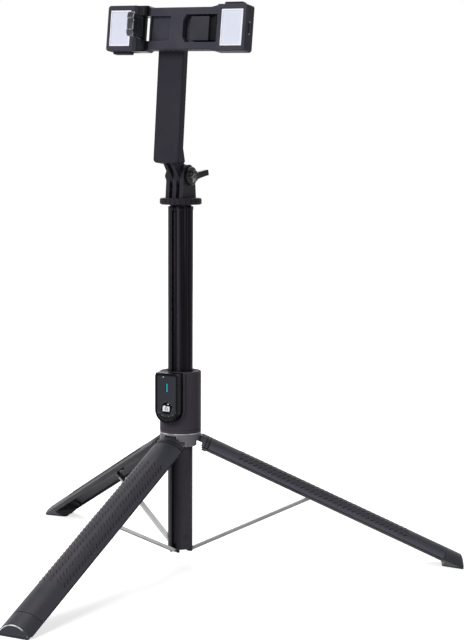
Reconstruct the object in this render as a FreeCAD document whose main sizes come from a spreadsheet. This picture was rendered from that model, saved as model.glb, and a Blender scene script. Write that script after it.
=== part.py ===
import FreeCAD, Part
import math
import os
import re
import Sketcher

# A table-top tripod that folds into a stick, with a phone clamp and two small lamps on top.
# Millimetres. +Z is up, the front is -Y, and the origin is on the column's axis at floor level.

doc = FreeCAD.newDocument("stick_tripod")

# Driving dimensions
SIZES = {
    # Column and the tubes inside it
    "tube_radius": 9.65,
    "tube_bore_radius": 6.4,
    "tube_length": 254.6,
    "channel_width": 4.6,
    "channel_floor": 6.95,
    "cavity_inner_radius": 7.4,
    "cavity_outer_radius": 8.9,
    "cavity_angle": 62,
    "base_bottom": 15.0,
    "base_height": 6.3,
    "base_lug_depth": 2.1,
    "base_lug_angle": 52,
    "base_slot_floor": 5.4,
    "base_spigot_length": 11,
    "cap_height": 2.8,
    "cap_edge_radius": 0.9,
    "stage_wall": 0.6,
    "stage_gap": 0.3,
    "stage_rise": 0.4,
    # Handle sleeve and its remote control
    "bore_gap": 0.35,
    "sleeve_radius": 15.8,
    "sleeve_length": 46.8,
    "sleeve_edge": 0.5,
    "sleeve_line_height": 2.4,
    "sleeve_line_depth": 0.35,
    "bush_wall": 1.7,
    "bush_height": 4,
    "remote_half_width": 10,
    "remote_rise": 8.7,
    "remote_back": 12.9,
    "remote_front": 21,
    "remote_face_thickness": 1.4,
    "remote_edge_radius": 0.7,
    "pocket_gap": 0.3,
    "pocket_rim": 1.3,
    "pocket_rim_front": 14.0,
    "shutter_rise": 11.4,
    "shutter_radius": 4.5,
    "shutter_proud": 0.5,
    "shutter_depth": 2.4,
    "shutter_travel": 0.6,
    "shutter_gap": 0.3,
    "signal_drop": 10.9,
    "signal_width": 1.8,
    "signal_length": 6.2,
    # Leg hub and hinges
    "collar_drop": 6.0,
    "collar_rise": 4.1,
    "collar_skirt_radius": 13.4,
    "collar_cut_angle": 90,
    "collar_cut_top": 2.0,
    "hinge_radius": 12,
    "hinge_height": 102.2,
    "hinge_pin_radius": 0.9,
    "hinge_pin_length": 15,
    "knuckle_radius": 2,
    "knuckle_width": 9.6,
    "knuckle_side_gap": 0.4,
    "pin_gap": 0.05,
    # Legs
    "leg_count": 3,
    "leg_open": 64.7,
    "leg_arc": 118,
    "leg_outer_radius": 16.0,
    "leg_wall": 1.8,
    "leg_lip_depth": 2.0,
    "leg_lip_angle": 4,
    "root_start": 4.2,
    "root_end": 10.9,
    "root_inner_radius": 10.3,
    "root_corner_width": 8,
    "root_corner_drop": 2.2,
    "ring_line_width": 0.8,
    "ring_line_depth": 0.45,
    "spigot_length": 7,
    "spigot_wall": 1.6,
    "spigot_gap": 0.1,
    "toe_rise": 8.806095,
    "foot_cap_length": 15,
    "toe_round": 2.4,
    "foot_length": 15.2,
    "sole_thickness": 1.8,
    "sole_inset": 0.6,
    # Struts
    "strut_hinge_radius": 8.3,
    "strut_base_drop": 0.9,
    "bracket_distance": 102.5,
    "bracket_length": 9,
    "bracket_width": 7.2,
    "bracket_floor": 10.3,
    "lug_width": 1.8,
    "strut_width": 4,
    "strut_thickness": 2.1,
    "strut_wall": 0.5,
    "strut_overhang": 2,
    "strut_pin_radius": 0.5,
    "base_pin_radius": 0.6,
    "base_pin_length": 1.4,
    # Head with the three-finger joint
    "neck_radius": 8.25,
    "neck_gap": 0.2,
    "neck_height": 1.0,
    "spindle_radius": 4,
    "spindle_gap": 0.3,
    "ring_height": 5,
    "ring_radius": 15.9,
    "ring_edge": 1.5,
    "ring_notch_count": 24,
    "ring_notch_depth": 0.5,
    "ring_notch_width": 1.0,
    "tilt_rise": 16.5,
    "finger_width": 3,
    "finger_pitch": 6,
    "finger_radius": 8.6,
    "finger_base": 10.2,
    "prong_width": 2.6,
    "prong_front": 20.2,
    "bolt_radius": 2.5,
    "nut_radius": 4.6,
    "nut_length": 3.8,
    "wing_gap": 0.5,
    "wing_hub_radius": 6.2,
    "wing_hub_length": 8.5,
    "wing_span": 26,
    "wing_length": 9.5,
    "wing_thickness": 3,
    "wing_turn": 13,
    # Tilting arm, in a frame at the tilt axis that leans back with the arm
    "arm_lean": 5.5,
    "arm_front": 24,
    "arm_thickness": 7,
    "arm_width": 21.8,
    "arm_bottom": 7.8,
    "arm_corner": 3,
    "arm_foot_depth": 11.5,
    "arm_foot_rise": 11.5,
    "arm_edge": 1.4,
    "arm_end_radius": 8,
    "turn_height": 106.1,
    "turn_screw_radius": 3,
    "turn_head_radius": 5.5,
    "turn_head_thickness": 1.8,
    "washer_radius": 8.5,
    "washer_thickness": 0.6,
    # Phone clamp, in the arm's frame and about the turning axis
    "clamp_roll": 1.3,
    "clamp_back": 24.6,
    "clamp_cover": 1.4,
    "clamp_front": 33.5,
    "clamp_left": 13.4,
    "clamp_right": 43.7,
    "clamp_half_height": 15.6,
    "clamp_end_slope": 6,
    "left_recess_left": 12.5,
    "left_recess_right": 4.4,
    "left_recess_depth": 2.9,
    "recess_half_height": 9.2,
    "right_recess_left": 15,
    "right_recess_depth": 6.9,
    "right_recess_half_height": 10.3,
    "right_recess_corner_length": 2.5,
    "right_recess_corner_height": 4.3,
    "slider_left": 24.2,
    "slider_gap": 0.3,
    "slider_wall": 3.3,
    "slider_slope": 1.8,
    "rod_radius": 1.3,
    "rod_spacing": 12.9,
    "rod_depth": 28.6,
    "rod_end": 34,
    "rod_gap": 0.1,
    "rod_seat": 2,
    "jaw_hinge_left": 17.6,
    "jaw_hinge_front": 35.4,
    "right_hinge_right": 41.6,
    "right_hinge_front": 31.1,
    "jaw_length": 21.6,
    "jaw_thickness": 3,
    "jaw_knuckle_radius": 1.8,
    "jaw_half_height": 8.8,
    "jaw_lip_height": 2.6,
    "jaw_lip_length": 2,
    "jaw_round": 1.4,
    "jaw_pin_radius": 0.8,
    "jaw_pad_thickness": 1.9,
    "jaw_pad_start": 5.6,
    "jaw_pad_length": 13,
    "jaw_pad_half_height": 7.2,
    "jaw_ear_radius": 2.4,
    # Lamps
    "lamp_width": 25.2,
    "lamp_height": 34,
    "lamp_front": 36.1,
    "lamp_corner": 2.2,
    "lamp_edge": 1,
    "lamp_bevel": 2.2,
    "diffuser_width": 17.7,
    "diffuser_height": 26.5,
    "diffuser_shift": 0.9,
    "diffuser_depth": 2,
    "diffuser_inset": 0.4,
    "lamp_button_length": 14.8,
    "lamp_button_width": 5.4,
    "lamp_button_depth": 2.4,
    "lamp_button_proud": 2,
    "lamp_button_travel": 0.8,
    "lamp_button_gap": 0.3,
    "port_length": 8,
    "port_width": 2.6,
    "port_corner": 0.9,
    "port_depth": 3,
    "port_shift": 1.2,
}

# Sizes that follow from the ones above
FOLLOWING = {
    "tube_bottom": "base_bottom + base_height",
    "tube_top": "tube_bottom + tube_length",
    "strut_base_height": "base_bottom - strut_base_drop",
    "collar_bottom": "hinge_height - collar_drop",
    "sleeve_bottom": "hinge_height + collar_rise",
    "sleeve_top": "sleeve_bottom + sleeve_length",
    "remote_bottom": "sleeve_bottom + remote_rise",
    "shutter_height": "remote_bottom + shutter_rise",
    "signal_height": "sleeve_top - signal_drop",
    "neck_bottom": "tube_top + cap_height + neck_gap",
    "ring_bottom": "neck_bottom + neck_height",
    "ring_top": "ring_bottom + ring_height",
    "tilt_height": "ring_top + tilt_rise",
    "wing_start": "finger_pitch + finger_width / 2 + wing_gap",
    "toe_end": "(hinge_height - toe_rise + (leg_outer_radius - hinge_radius) * sin(leg_open)) / cos(leg_open)",
    "shell_end": "toe_end - foot_cap_length",
    "toe_reach": "hinge_radius + (leg_outer_radius - hinge_radius) * cos(leg_open) + toe_end * sin(leg_open)",
    "heel_reach": "toe_reach - foot_length",
}

sheet = doc.addObject("Spreadsheet::Sheet", "dims")
for row, (alias, number) in enumerate(SIZES.items(), start=1):
    sheet.set("A%d" % row, alias.replace("_", " "))
    sheet.set("B%d" % row, str(number))
    sheet.setAlias("B%d" % row, alias)
doc.recompute()

WORD = re.compile(r"[a-z][a-z_]*")
PIECES = []


def formula(text):
    """Point every size that a formula names at its cell, and write out those that follow."""
    def written(match):
        word = match.group()
        if word in FOLLOWING:
            return "(%s)" % formula(FOLLOWING[word])
        return "dims." + word if word in SIZES else word
    return WORD.sub(written, text)


def bind(item, prop, text):
    item.setExpression(prop, formula(text))


def size(alias):
    return float(getattr(sheet, alias))


def keep(item, name):
    item.Label = name
    PIECES.append(item)
    return item


# Bodies, sketches and features
def new_body(name):
    return keep(doc.addObject("PartDesign::Body", name), name)


def new_sketch(body, plane, offset=None):
    """A sketch on one of the body's own planes: XY faces +Z, XZ faces -Y, YZ faces +X."""
    sketch = body.newObject("Sketcher::SketchObject", body.Name + "_sketch")
    origin_plane = next(p for p in body.Origin.OriginFeatures if p.Role == plane + "_Plane")
    sketch.AttachmentSupport = [(origin_plane, "")]
    sketch.MapMode = "FlatFace"
    if offset:
        bind(sketch, "AttachmentOffset.Base.z", offset)
    return sketch


def fix_point(sketch, geometry, point, x, y):
    """Tie a point of the sketch to its two formulas, measured from the origin."""
    for kind, text in (("DistanceX", x), ("DistanceY", y)):
        number = sketch.addConstraint(Sketcher.Constraint(kind, -1, 1, geometry, point, 1.0))
        bind(sketch, "Constraints[%d]" % number, text)


def outline(sketch, points):
    """A closed outline of straight lines through points given as formulas."""
    first = sketch.GeometryCount
    count = len(points)
    corners = [
        FreeCAD.Vector(math.cos(2 * math.pi * i / count), math.sin(2 * math.pi * i / count), 0)
        for i in range(count + 1)
    ]
    for i in range(count):
        sketch.addGeometry(Part.LineSegment(corners[i], corners[i + 1]), False)
    for i in range(count):
        after = first + (i + 1) % count
        sketch.addConstraint(Sketcher.Constraint("Coincident", first + i, 2, after, 1))
    for i, (x, y) in enumerate(points):
        fix_point(sketch, first + i, 1, x, y)


def rectangle(sketch, x_low, x_high, y_low, y_high):
    outline(sketch, [(x_low, y_low), (x_high, y_low), (x_high, y_high), (x_low, y_high)])


def circle(sketch, x, y, radius):
    middle = FreeCAD.Vector(0, 0, 0)
    number = sketch.addGeometry(Part.Circle(middle, FreeCAD.Vector(0, 0, 1), 1.0), False)
    fix_point(sketch, number, 3, x, y)
    radius_number = sketch.addConstraint(Sketcher.Constraint("Radius", number, 1.0))
    bind(sketch, "Constraints[%d]" % radius_number, radius)


def feature(body, kind, sketch, **values):
    item = body.newObject("PartDesign::" + kind, body.Name + "_" + kind)
    item.Profile = (sketch, [""])
    for prop, setting in values.items():
        if isinstance(setting, str):
            bind(item, prop, setting)
        else:
            setattr(item, prop, setting)
    return item


def pad(body, sketch, length, **options):
    return feature(body, "Pad", sketch, Length=length, **options)


def pocket(body, sketch, length, **options):
    """A cut of the given depth that has to take material away."""
    doc.recompute()
    before = body.Shape.Volume
    item = feature(body, "Pocket", sketch, Length=length, **options)
    doc.recompute()
    if not body.Shape.Volume < before - 1e-6:
        raise RuntimeError("a pocket in %s cuts nothing" % body.Label)
    return item


def spin(body, sketch, kind="Revolution", angle="360", axis="V_Axis"):
    item = feature(body, kind, sketch, Angle=angle, Midplane=True)
    item.ReferenceAxis = (sketch, [axis])
    return item


def around(body, features, count="leg_count"):
    """Repeat features evenly about the body's Z axis."""
    doc.recompute()
    pattern = body.newObject("PartDesign::PolarPattern", body.Name + "_pattern")
    pattern.Originals = features
    pattern.Axis = (next(a for a in body.Origin.OriginFeatures if a.Role == "Z_Axis"), [""])
    pattern.Angle = 360
    bind(pattern, "Occurrences", count)
    body.Tip = pattern
    return pattern


def soften(body, amount, chosen, kind="Fillet"):
    """Round or bevel the edges of the body that the test chooses."""
    doc.recompute()
    base = body.Tip
    names = ["Edge%d" % (i + 1) for i, edge in enumerate(base.Shape.Edges) if chosen(edge)]
    item = body.newObject("PartDesign::" + kind, body.Name + "_" + kind)
    item.Base = (base, names)
    bind(item, "Radius" if kind == "Fillet" else "Size", amount)
    return item


def along(edge, direction):
    """True for a straight edge in the given direction."""
    if edge.Curve.TypeId != "Part::GeomLine":
        return False
    return abs(edge.tangentAt(edge.FirstParameter).dot(FreeCAD.Vector(*direction))) > 0.999


def middle_of(edge):
    return edge.BoundBox.Center


# Plain solids and their booleans
TURNS = {"Z": (0, 0, 1, 0), "X": (0, 1, 0, 90), "Y": (1, 0, 0, 90)}


def cylinder(name, radius, length, at, axis="Z"):
    """A round bar from the given point along +Z, +X or -Y."""
    item = doc.addObject("Part::Cylinder", name)
    bind(item, "Radius", radius)
    bind(item, "Height", length)
    x, y, z, angle = TURNS[axis]
    item.Placement = FreeCAD.Placement(
        FreeCAD.Vector(0, 0, 0), FreeCAD.Rotation(FreeCAD.Vector(x, y, z), angle)
    )
    for letter, text in zip("xyz", at):
        bind(item, "Placement.Base." + letter, text)
    return item


def cut(name, base, tool):
    item = doc.addObject("Part::Cut", name)
    item.Base = base
    item.Tool = tool
    return item


def several(name, items, kind="Compound"):
    item = doc.addObject("Part::" + kind, name)
    setattr(item, "Links" if kind == "Compound" else "Shapes", items)
    return item


def at_leg(item, number, local="placement(vector(0; 0; 0); rotation(vector(0; 0; 1); 0))"):
    """Turn a piece about the column to a leg's direction; leg 0 points to the front."""
    turn = "rotation(vector(0; 0; 1); %d * 360 / leg_count - 90)" % number
    bind(item, "Placement", "placement(vector(0; 0; 0); %s) * %s" % (turn, local))


LEANING = "placement(vector(0; 0; tilt_height); rotation(vector(1; 0; 0); -arm_lean))"
CLAMPED = (
    LEANING + " * placement(vector(0; 0; turn_height); rotation(vector(0; 1; 0); clamp_roll))"
)


def leaning(item):
    """Put a piece that is drawn about the tilt axis in its place on the head."""
    bind(item, "Placement", LEANING)


def clamped(item, place="vector(0; 0; 0)", turn="rotation(vector(0; 0; 1); 0)"):
    """Put a piece that is drawn about the clamp's turning axis in its place on the arm."""
    bind(item, "Placement", "%s * placement(%s; %s)" % (CLAMPED, place, turn))


LEGS = ("front", "right", "left")
BORE = "(tube_radius + bore_gap)"


# Handle sleeve, its bush and the remote control
def capsule(sketch, grow, top):
    """The remote's outline seen from the front: straight sides, flat top, round bottom."""
    half = "remote_half_width + %s" % grow
    centre = "remote_bottom + remote_half_width"
    rectangle(sketch, "-(%s)" % half, half, centre, top)
    return half, centre


def capsule_feature(body, make, depth, front, grow="0", top="sleeve_top", **options):
    """Pad or pocket the remote's outline from its front plane."""
    sketch = new_sketch(body, "XZ", front)
    half, centre = capsule(sketch, grow, top)
    make(body, sketch, depth, **options)
    sketch = new_sketch(body, "XZ", front)
    circle(sketch, "0", centre, half)
    make(body, sketch, depth, **options)


def make_sleeve():
    body = new_body("control_sleeve")
    sketch = new_sketch(body, "XZ")
    line = "sleeve_bottom + sleeve_line_height"
    outline(sketch, [
        (BORE, "sleeve_bottom"),
        ("sleeve_radius - sleeve_edge", "sleeve_bottom"),
        ("sleeve_radius", "sleeve_bottom + sleeve_edge"),
        ("sleeve_radius", line + " - sleeve_line_depth"),
        ("sleeve_radius - sleeve_line_depth", line),
        ("sleeve_radius", line + " + sleeve_line_depth"),
        ("sleeve_radius", "sleeve_top - sleeve_edge"),
        ("sleeve_radius - sleeve_edge", "sleeve_top"),
        (BORE + " + bush_wall", "sleeve_top"),
        (BORE + " + bush_wall", "sleeve_top - bush_height"),
        (BORE, "sleeve_top - bush_height"),
    ])
    spin(body, sketch)
    capsule_feature(
        body, pad, "pocket_rim_front - remote_back", "pocket_rim_front",
        "pocket_gap + pocket_rim", Reversed=True,
    )
    capsule_feature(
        body, pocket, "sleeve_radius", "remote_back - pocket_gap",
        "pocket_gap", "sleeve_top + sleeve_edge", Reversed=True,
    )

    body = new_body("sleeve_bush")
    sketch = new_sketch(body, "XZ")
    outer = BORE + " + bush_wall"
    outline(sketch, [
        (BORE, "sleeve_top - bush_height"),
        (outer, "sleeve_top - bush_height"),
        (outer, "sleeve_top - sleeve_edge"),
        (outer + " - sleeve_edge", "sleeve_top"),
        (BORE + " + sleeve_edge", "sleeve_top"),
        (BORE, "sleeve_top - sleeve_edge"),
    ])
    spin(body, sketch)


def make_remote():
    body = new_body("remote_case")
    face_back = "remote_front - remote_face_thickness"
    capsule_feature(body, pad, face_back + " - remote_back", face_back, Reversed=True)
    sketch = new_sketch(body, "XZ", face_back)
    circle(sketch, "0", "shutter_height", "shutter_radius + shutter_gap")
    depth = "shutter_depth + shutter_travel + shutter_gap - shutter_proud - remote_face_thickness"
    pocket(body, sketch, depth)

    body = new_body("remote_face")
    capsule_feature(body, pad, "remote_face_thickness", "remote_front", Reversed=True)
    front = -size("remote_front")
    soften(body, "remote_edge_radius", lambda e: abs(e.BoundBox.YMax - front) < 1e-6)
    for shape in ("shutter", "signal"):
        sketch = new_sketch(body, "XZ", "remote_front")
        if shape == "shutter":
            circle(sketch, "0", "shutter_height", "shutter_radius + shutter_gap")
        else:
            signal_outline(sketch)
        pocket(body, sketch, "remote_face_thickness")

    body = new_body("shutter_button")
    sketch = new_sketch(body, "XZ", "remote_front + shutter_proud")
    circle(sketch, "0", "shutter_height", "shutter_radius")
    pad(body, sketch, "shutter_depth", Reversed=True)
    front_of_button = front - size("shutter_proud")
    soften(body, "shutter_proud * 0.8", lambda e: abs(e.BoundBox.YMin - front_of_button) < 1e-6)

    body = new_body("signal_window")
    sketch = new_sketch(body, "XZ", "remote_front")
    signal_outline(sketch)
    pad(body, sketch, "remote_face_thickness", Reversed=True)


def signal_outline(sketch):
    rectangle(
        sketch, "-signal_width / 2", "signal_width / 2",
        "signal_height - signal_length / 2", "signal_height + signal_length / 2",
    )


# Hub of the legs
def make_collar():
    body = new_body("leg_collar")
    sketch = new_sketch(body, "XZ")
    outline(sketch, [
        (BORE, "collar_bottom"),
        ("sleeve_radius - sleeve_edge", "collar_bottom"),
        ("sleeve_radius", "collar_bottom + sleeve_edge"),
        ("sleeve_radius", "sleeve_bottom - sleeve_edge"),
        ("sleeve_radius - sleeve_edge", "sleeve_bottom"),
        (BORE, "sleeve_bottom"),
    ])
    spin(body, sketch)
    # The outer skirt is cut away where the leg's root swings
    sketch = new_sketch(body, "XZ")
    rectangle(
        sketch, "collar_skirt_radius", "sleeve_radius + 1",
        "collar_bottom - 1", "hinge_height - collar_cut_top",
    )
    skirt = spin(body, sketch, "Groove", "collar_cut_angle")
    # Notch for the knuckle, and the hole for its pin
    sketch = new_sketch(body, "XZ")
    notch_top = "hinge_height + knuckle_radius + knuckle_side_gap"
    rectangle(sketch, "tube_radius - 1", "sleeve_radius + 1", "collar_bottom - 1", notch_top)
    notch = pocket(body, sketch, "knuckle_width + 2 * knuckle_side_gap", Midplane=True)
    sketch = new_sketch(body, "XZ")
    circle(sketch, "hinge_radius", "hinge_height", "hinge_pin_radius")
    hole = pocket(body, sketch, "hinge_pin_length", Midplane=True)
    around(body, [skirt, notch, hole])
    at_leg(body, 0)

    pins = []
    for number, leg in enumerate(LEGS):
        pin = cylinder(
            "hinge_pin_" + leg, "hinge_pin_radius", "hinge_pin_length",
            ("hinge_radius", "hinge_pin_length / 2", "hinge_height"), "Y",
        )
        turned = several("turned_pin_" + leg, [pin])
        at_leg(turned, number)
        pins.append(turned)
    keep(several("leg_hinge_pins", pins), "leg_hinge_pins")


# Legs, drawn folded: +X is outward, Z is measured from the hinge, and the leg hangs down
FOLDED_TO_OPEN = (
    "placement(vector(hinge_radius; 0; hinge_height); rotation(vector(0; 1; 0); -leg_open))"
    " * placement(vector(-hinge_radius; 0; 0); rotation(vector(0; 0; 1); 0))"
)
LEG_INNER = "(leg_outer_radius - leg_wall)"
SPIGOT_OUTER = "(leg_outer_radius - leg_wall - spigot_gap)"
SPIGOT_ARC = "leg_arc - 4 * leg_lip_angle"


def make_leg_root(name):
    body = new_body(name)
    sketch = new_sketch(body, "XZ")
    line = "-root_end + ring_line_width"
    outline(sketch, [
        (LEG_INNER, "-root_start"),
        ("leg_outer_radius", "-root_start"),
        ("leg_outer_radius", line),
        ("leg_outer_radius - ring_line_depth", line),
        ("leg_outer_radius - ring_line_depth", "-root_end"),
        ("root_inner_radius", "-root_end"),
        ("root_inner_radius", "-(root_start + root_end) / 2"),
        (LEG_INNER, "-(root_start + root_end) / 2"),
    ])
    spin(body, sketch, angle="leg_arc")
    # Spigot that enters the shell
    sketch = new_sketch(body, "XZ")
    rectangle(
        sketch, SPIGOT_OUTER + " - spigot_wall", SPIGOT_OUTER,
        "-root_end - spigot_length", "-root_end",
    )
    spin(body, sketch, angle=SPIGOT_ARC)
    # Knuckle around the pin
    sketch = new_sketch(body, "XZ")
    circle(sketch, "hinge_radius", "0", "knuckle_radius")
    pad(body, sketch, "knuckle_width", Midplane=True)
    sketch = new_sketch(body, "XZ")
    outline(sketch, [
        ("hinge_radius - knuckle_radius", "0"),
        ("hinge_radius - knuckle_radius", "-root_end"),
        ("leg_outer_radius - 0.9", "-root_end"),
        ("leg_outer_radius - 0.9", "-root_start"),
        ("hinge_radius + knuckle_radius", "0"),
    ])
    pad(body, sketch, "knuckle_width", Midplane=True)
    # The upper corners are cut at a slant to clear the collar
    sketch = new_sketch(body, "YZ")
    low = "-(root_start + root_corner_drop)"
    for side in ("", "-"):
        outline(sketch, [
            (side + "root_corner_width", "0"),
            (side + "root_corner_width", "-root_start"),
            (side + "(root_corner_width + root_corner_drop)", low),
            (side + "leg_outer_radius", low + " - 0.4"),
            (side + "leg_outer_radius", "0"),
        ])
    pocket(body, sketch, "2 * leg_outer_radius", Midplane=True)
    sketch = new_sketch(body, "XZ")
    circle(sketch, "hinge_radius", "0", "hinge_pin_radius + pin_gap")
    pocket(body, sketch, "knuckle_width", Midplane=True)
    return body


def make_leg_shell(name):
    body = new_body(name)
    sketch = new_sketch(body, "XZ")
    rectangle(sketch, LEG_INNER, "leg_outer_radius", "-shell_end", "-root_end")
    spin(body, sketch, angle="leg_arc")
    # A lip stiffens each long edge
    for side in ("", "-"):
        sketch = new_sketch(body, "XZ")
        rectangle(sketch, LEG_INNER + " - leg_lip_depth", LEG_INNER + " + 0.2", "-shell_end", "-root_end")
        lip = feature(body, "Revolution", sketch)
        lip.ReferenceAxis = (sketch, ["V_Axis"])
        lip.Type = "TwoAngles"
        outer = "leg_arc / 2" if side else "leg_lip_angle - leg_arc / 2"
        inner = "leg_lip_angle - leg_arc / 2" if side else "leg_arc / 2"
        bind(lip, "Angle", outer)
        bind(lip, "Angle2", inner)
    # Bracket and lug for the strut
    sketch = new_sketch(body, "XZ")
    rectangle(
        sketch, "bracket_floor", LEG_INNER + " + 0.4",
        "-bracket_distance - bracket_length / 2", "-bracket_distance + bracket_length / 2",
    )
    pad(body, sketch, "bracket_width", Midplane=True)
    sketch = new_sketch(body, "XZ")
    half = "(strut_thickness / 2)"
    circle(sketch, "strut_hinge_radius", "-bracket_distance", half)
    pad(body, sketch, "lug_width", Midplane=True)
    sketch = new_sketch(body, "XZ")
    rectangle(
        sketch, "strut_hinge_radius", "bracket_floor + 0.2",
        "-bracket_distance - %s" % half, "-bracket_distance + %s" % half,
    )
    pad(body, sketch, "lug_width", Midplane=True)
    sketch = new_sketch(body, "XZ")
    circle(sketch, "strut_hinge_radius", "-bracket_distance", "strut_pin_radius + pin_gap")
    pocket(body, sketch, "lug_width", Midplane=True)
    return body


def meeting(reach, height):
    """The point of the leg's frame at a reach from the column and a height over the floor."""
    out = "((%s) - hinge_radius)" % reach
    up = "((%s) - hinge_height)" % height
    x = "(hinge_radius + %s * cos(leg_open) + %s * sin(leg_open))" % (out, up)
    z = "(%s * cos(leg_open) - %s * sin(leg_open))" % (up, out)
    return x, z


def trim_to_leg(body, arc_inset="0"):
    """Cut a foot piece to the leg's round outside and to its share of the circle."""
    sketch = new_sketch(body, "XY")
    circle(sketch, "0", "0", "leg_outer_radius - %s" % arc_inset)
    circle(sketch, "0", "0", "3 * leg_outer_radius")
    pocket(body, sketch, "3 * toe_end", Midplane=True)
    sketch = new_sketch(body, "XY")
    far = "2 * leg_outer_radius"
    apex = "%s / sin(leg_arc / 2)" % arc_inset
    for side in ("", "-"):
        outline(sketch, [
            ("-" + far, "0"),
            (apex, "0"),
            ("%s + %s * cos(leg_arc / 2)" % (apex, far), side + far + " * sin(leg_arc / 2)"),
            ("-" + far, side + far + " * sin(leg_arc / 2)"),
        ])
    pocket(body, sketch, "3 * toe_end", Midplane=True)


def make_leg_foot(name):
    body = new_body(name)
    sketch = new_sketch(body, "XZ")
    outline(sketch, [
        ("leg_outer_radius + 1", "-shell_end"),
        ("leg_outer_radius + 1", "1 / tan(leg_open) - toe_end"),
        meeting("toe_reach", "sole_thickness"),
        meeting("heel_reach", "sole_thickness"),
        meeting("heel_reach", "3 * sole_thickness"),
        (LEG_INNER + " - 8", "-shell_end"),
    ])
    pad(body, sketch, "2 * leg_outer_radius", Midplane=True)
    trim_to_leg(body)
    doc.recompute()
    toe = max(reach_of(vertex) for vertex in body.Shape.Vertexes)
    soften(
        body, "toe_round",
        lambda e: all(abs(reach_of(v) - toe) < 1e-4 for v in e.Vertexes)
        and not along(e, (0, 1, 0)),
    )
    sketch = new_sketch(body, "XZ")
    rectangle(
        sketch, "leg_outer_radius - ring_line_depth", "leg_outer_radius + 1",
        "-shell_end - 2 * ring_line_width", "-shell_end - ring_line_width",
    )
    spin(body, sketch, "Groove", "360")
    sketch = new_sketch(body, "XZ")
    rectangle(
        sketch, SPIGOT_OUTER + " - spigot_wall", SPIGOT_OUTER,
        "-shell_end - 1", "-shell_end + spigot_length",
    )
    spin(body, sketch, angle=SPIGOT_ARC)
    return body


def reach_of(vertex):
    """How far from the hinge a point of the folded leg lies once the leg is open."""
    turn = math.radians(size("leg_open"))
    return (vertex.X - size("hinge_radius")) * math.cos(turn) - vertex.Z * math.sin(turn)


def make_leg_sole(name):
    body = new_body(name)
    sketch = new_sketch(body, "XZ")
    toe = "toe_reach - sole_inset"
    outline(sketch, [
        meeting(toe, "sole_thickness"),
        meeting(toe, "0"),
        meeting("heel_reach", "0"),
        meeting("heel_reach", "sole_thickness"),
    ])
    pad(body, sketch, "2 * leg_outer_radius", Midplane=True)
    trim_to_leg(body, "sole_inset")
    return body


# Struts: drawn upright on their lower hinge, the open side of the channel facing +X
BRACKET_REACH = (
    "(hinge_radius - (hinge_radius - strut_hinge_radius) * cos(leg_open)"
    " + bracket_distance * sin(leg_open))"
)
BRACKET_HEIGHT = (
    "(hinge_height - (hinge_radius - strut_hinge_radius) * sin(leg_open)"
    " - bracket_distance * cos(leg_open))"
)
STRUT_RUN = "(%s - strut_hinge_radius)" % BRACKET_REACH
STRUT_RISE = "(%s - strut_base_height)" % BRACKET_HEIGHT
STRUT_LENGTH = "sqrt(%s ^ 2 + %s ^ 2)" % (STRUT_RUN, STRUT_RISE)
STRUT_PLACE = (
    "placement(vector(strut_hinge_radius; 0; strut_base_height);"
    " rotation(vector(0; 1; 0); atan2(%s; %s)))" % (STRUT_RUN, STRUT_RISE)
)


def make_strut(name):
    body = new_body(name)
    half = "strut_thickness / 2"
    sketch = new_sketch(body, "XZ")
    rectangle(sketch, "-" + half, half, "-strut_overhang", STRUT_LENGTH)
    pad(body, sketch, "strut_width", Midplane=True)
    sketch = new_sketch(body, "XZ")
    circle(sketch, "0", STRUT_LENGTH, half)
    pad(body, sketch, "strut_width", Midplane=True)
    # The channel, open at the bracket's end so that the lug can turn in it
    sketch = new_sketch(body, "XZ")
    outline(sketch, [
        ("strut_wall - " + half, "2 * strut_thickness"),
        ("strut_thickness", "2 * strut_thickness"),
        ("strut_thickness", STRUT_LENGTH + " + strut_thickness"),
        ("-strut_thickness", STRUT_LENGTH + " + strut_thickness"),
        ("-strut_thickness", STRUT_LENGTH + " - strut_thickness"),
        ("strut_wall - " + half, STRUT_LENGTH + " - strut_thickness"),
    ])
    pocket(body, sketch, "strut_width - 2 * strut_wall", Midplane=True)
    for height, radius in (
        (STRUT_LENGTH, "strut_pin_radius"),
        ("0", "base_pin_radius + pin_gap"),
    ):
        sketch = new_sketch(body, "XZ")
        circle(sketch, "0", height, radius)
        pocket(body, sketch, "2 * strut_width", Midplane=True)
    return body


def make_legs():
    for number, leg in enumerate(LEGS):
        for make, part in (
            (make_leg_root, "leg_root_"),
            (make_leg_shell, "leg_shell_"),
            (make_leg_foot, "leg_foot_"),
            (make_leg_sole, "leg_sole_"),
        ):
            at_leg(make(part + leg), number, FOLDED_TO_OPEN)
        at_leg(make_strut("strut_" + leg), number, STRUT_PLACE)
        pin = cylinder(
            "upper_pin_" + leg, "strut_pin_radius", "strut_width",
            ("0", "strut_width / 2", STRUT_LENGTH), "Y",
        )
        placed = keep(several("strut_pin_" + leg, [pin]), "strut_pin_" + leg)
        at_leg(placed, number, STRUT_PLACE)


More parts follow.
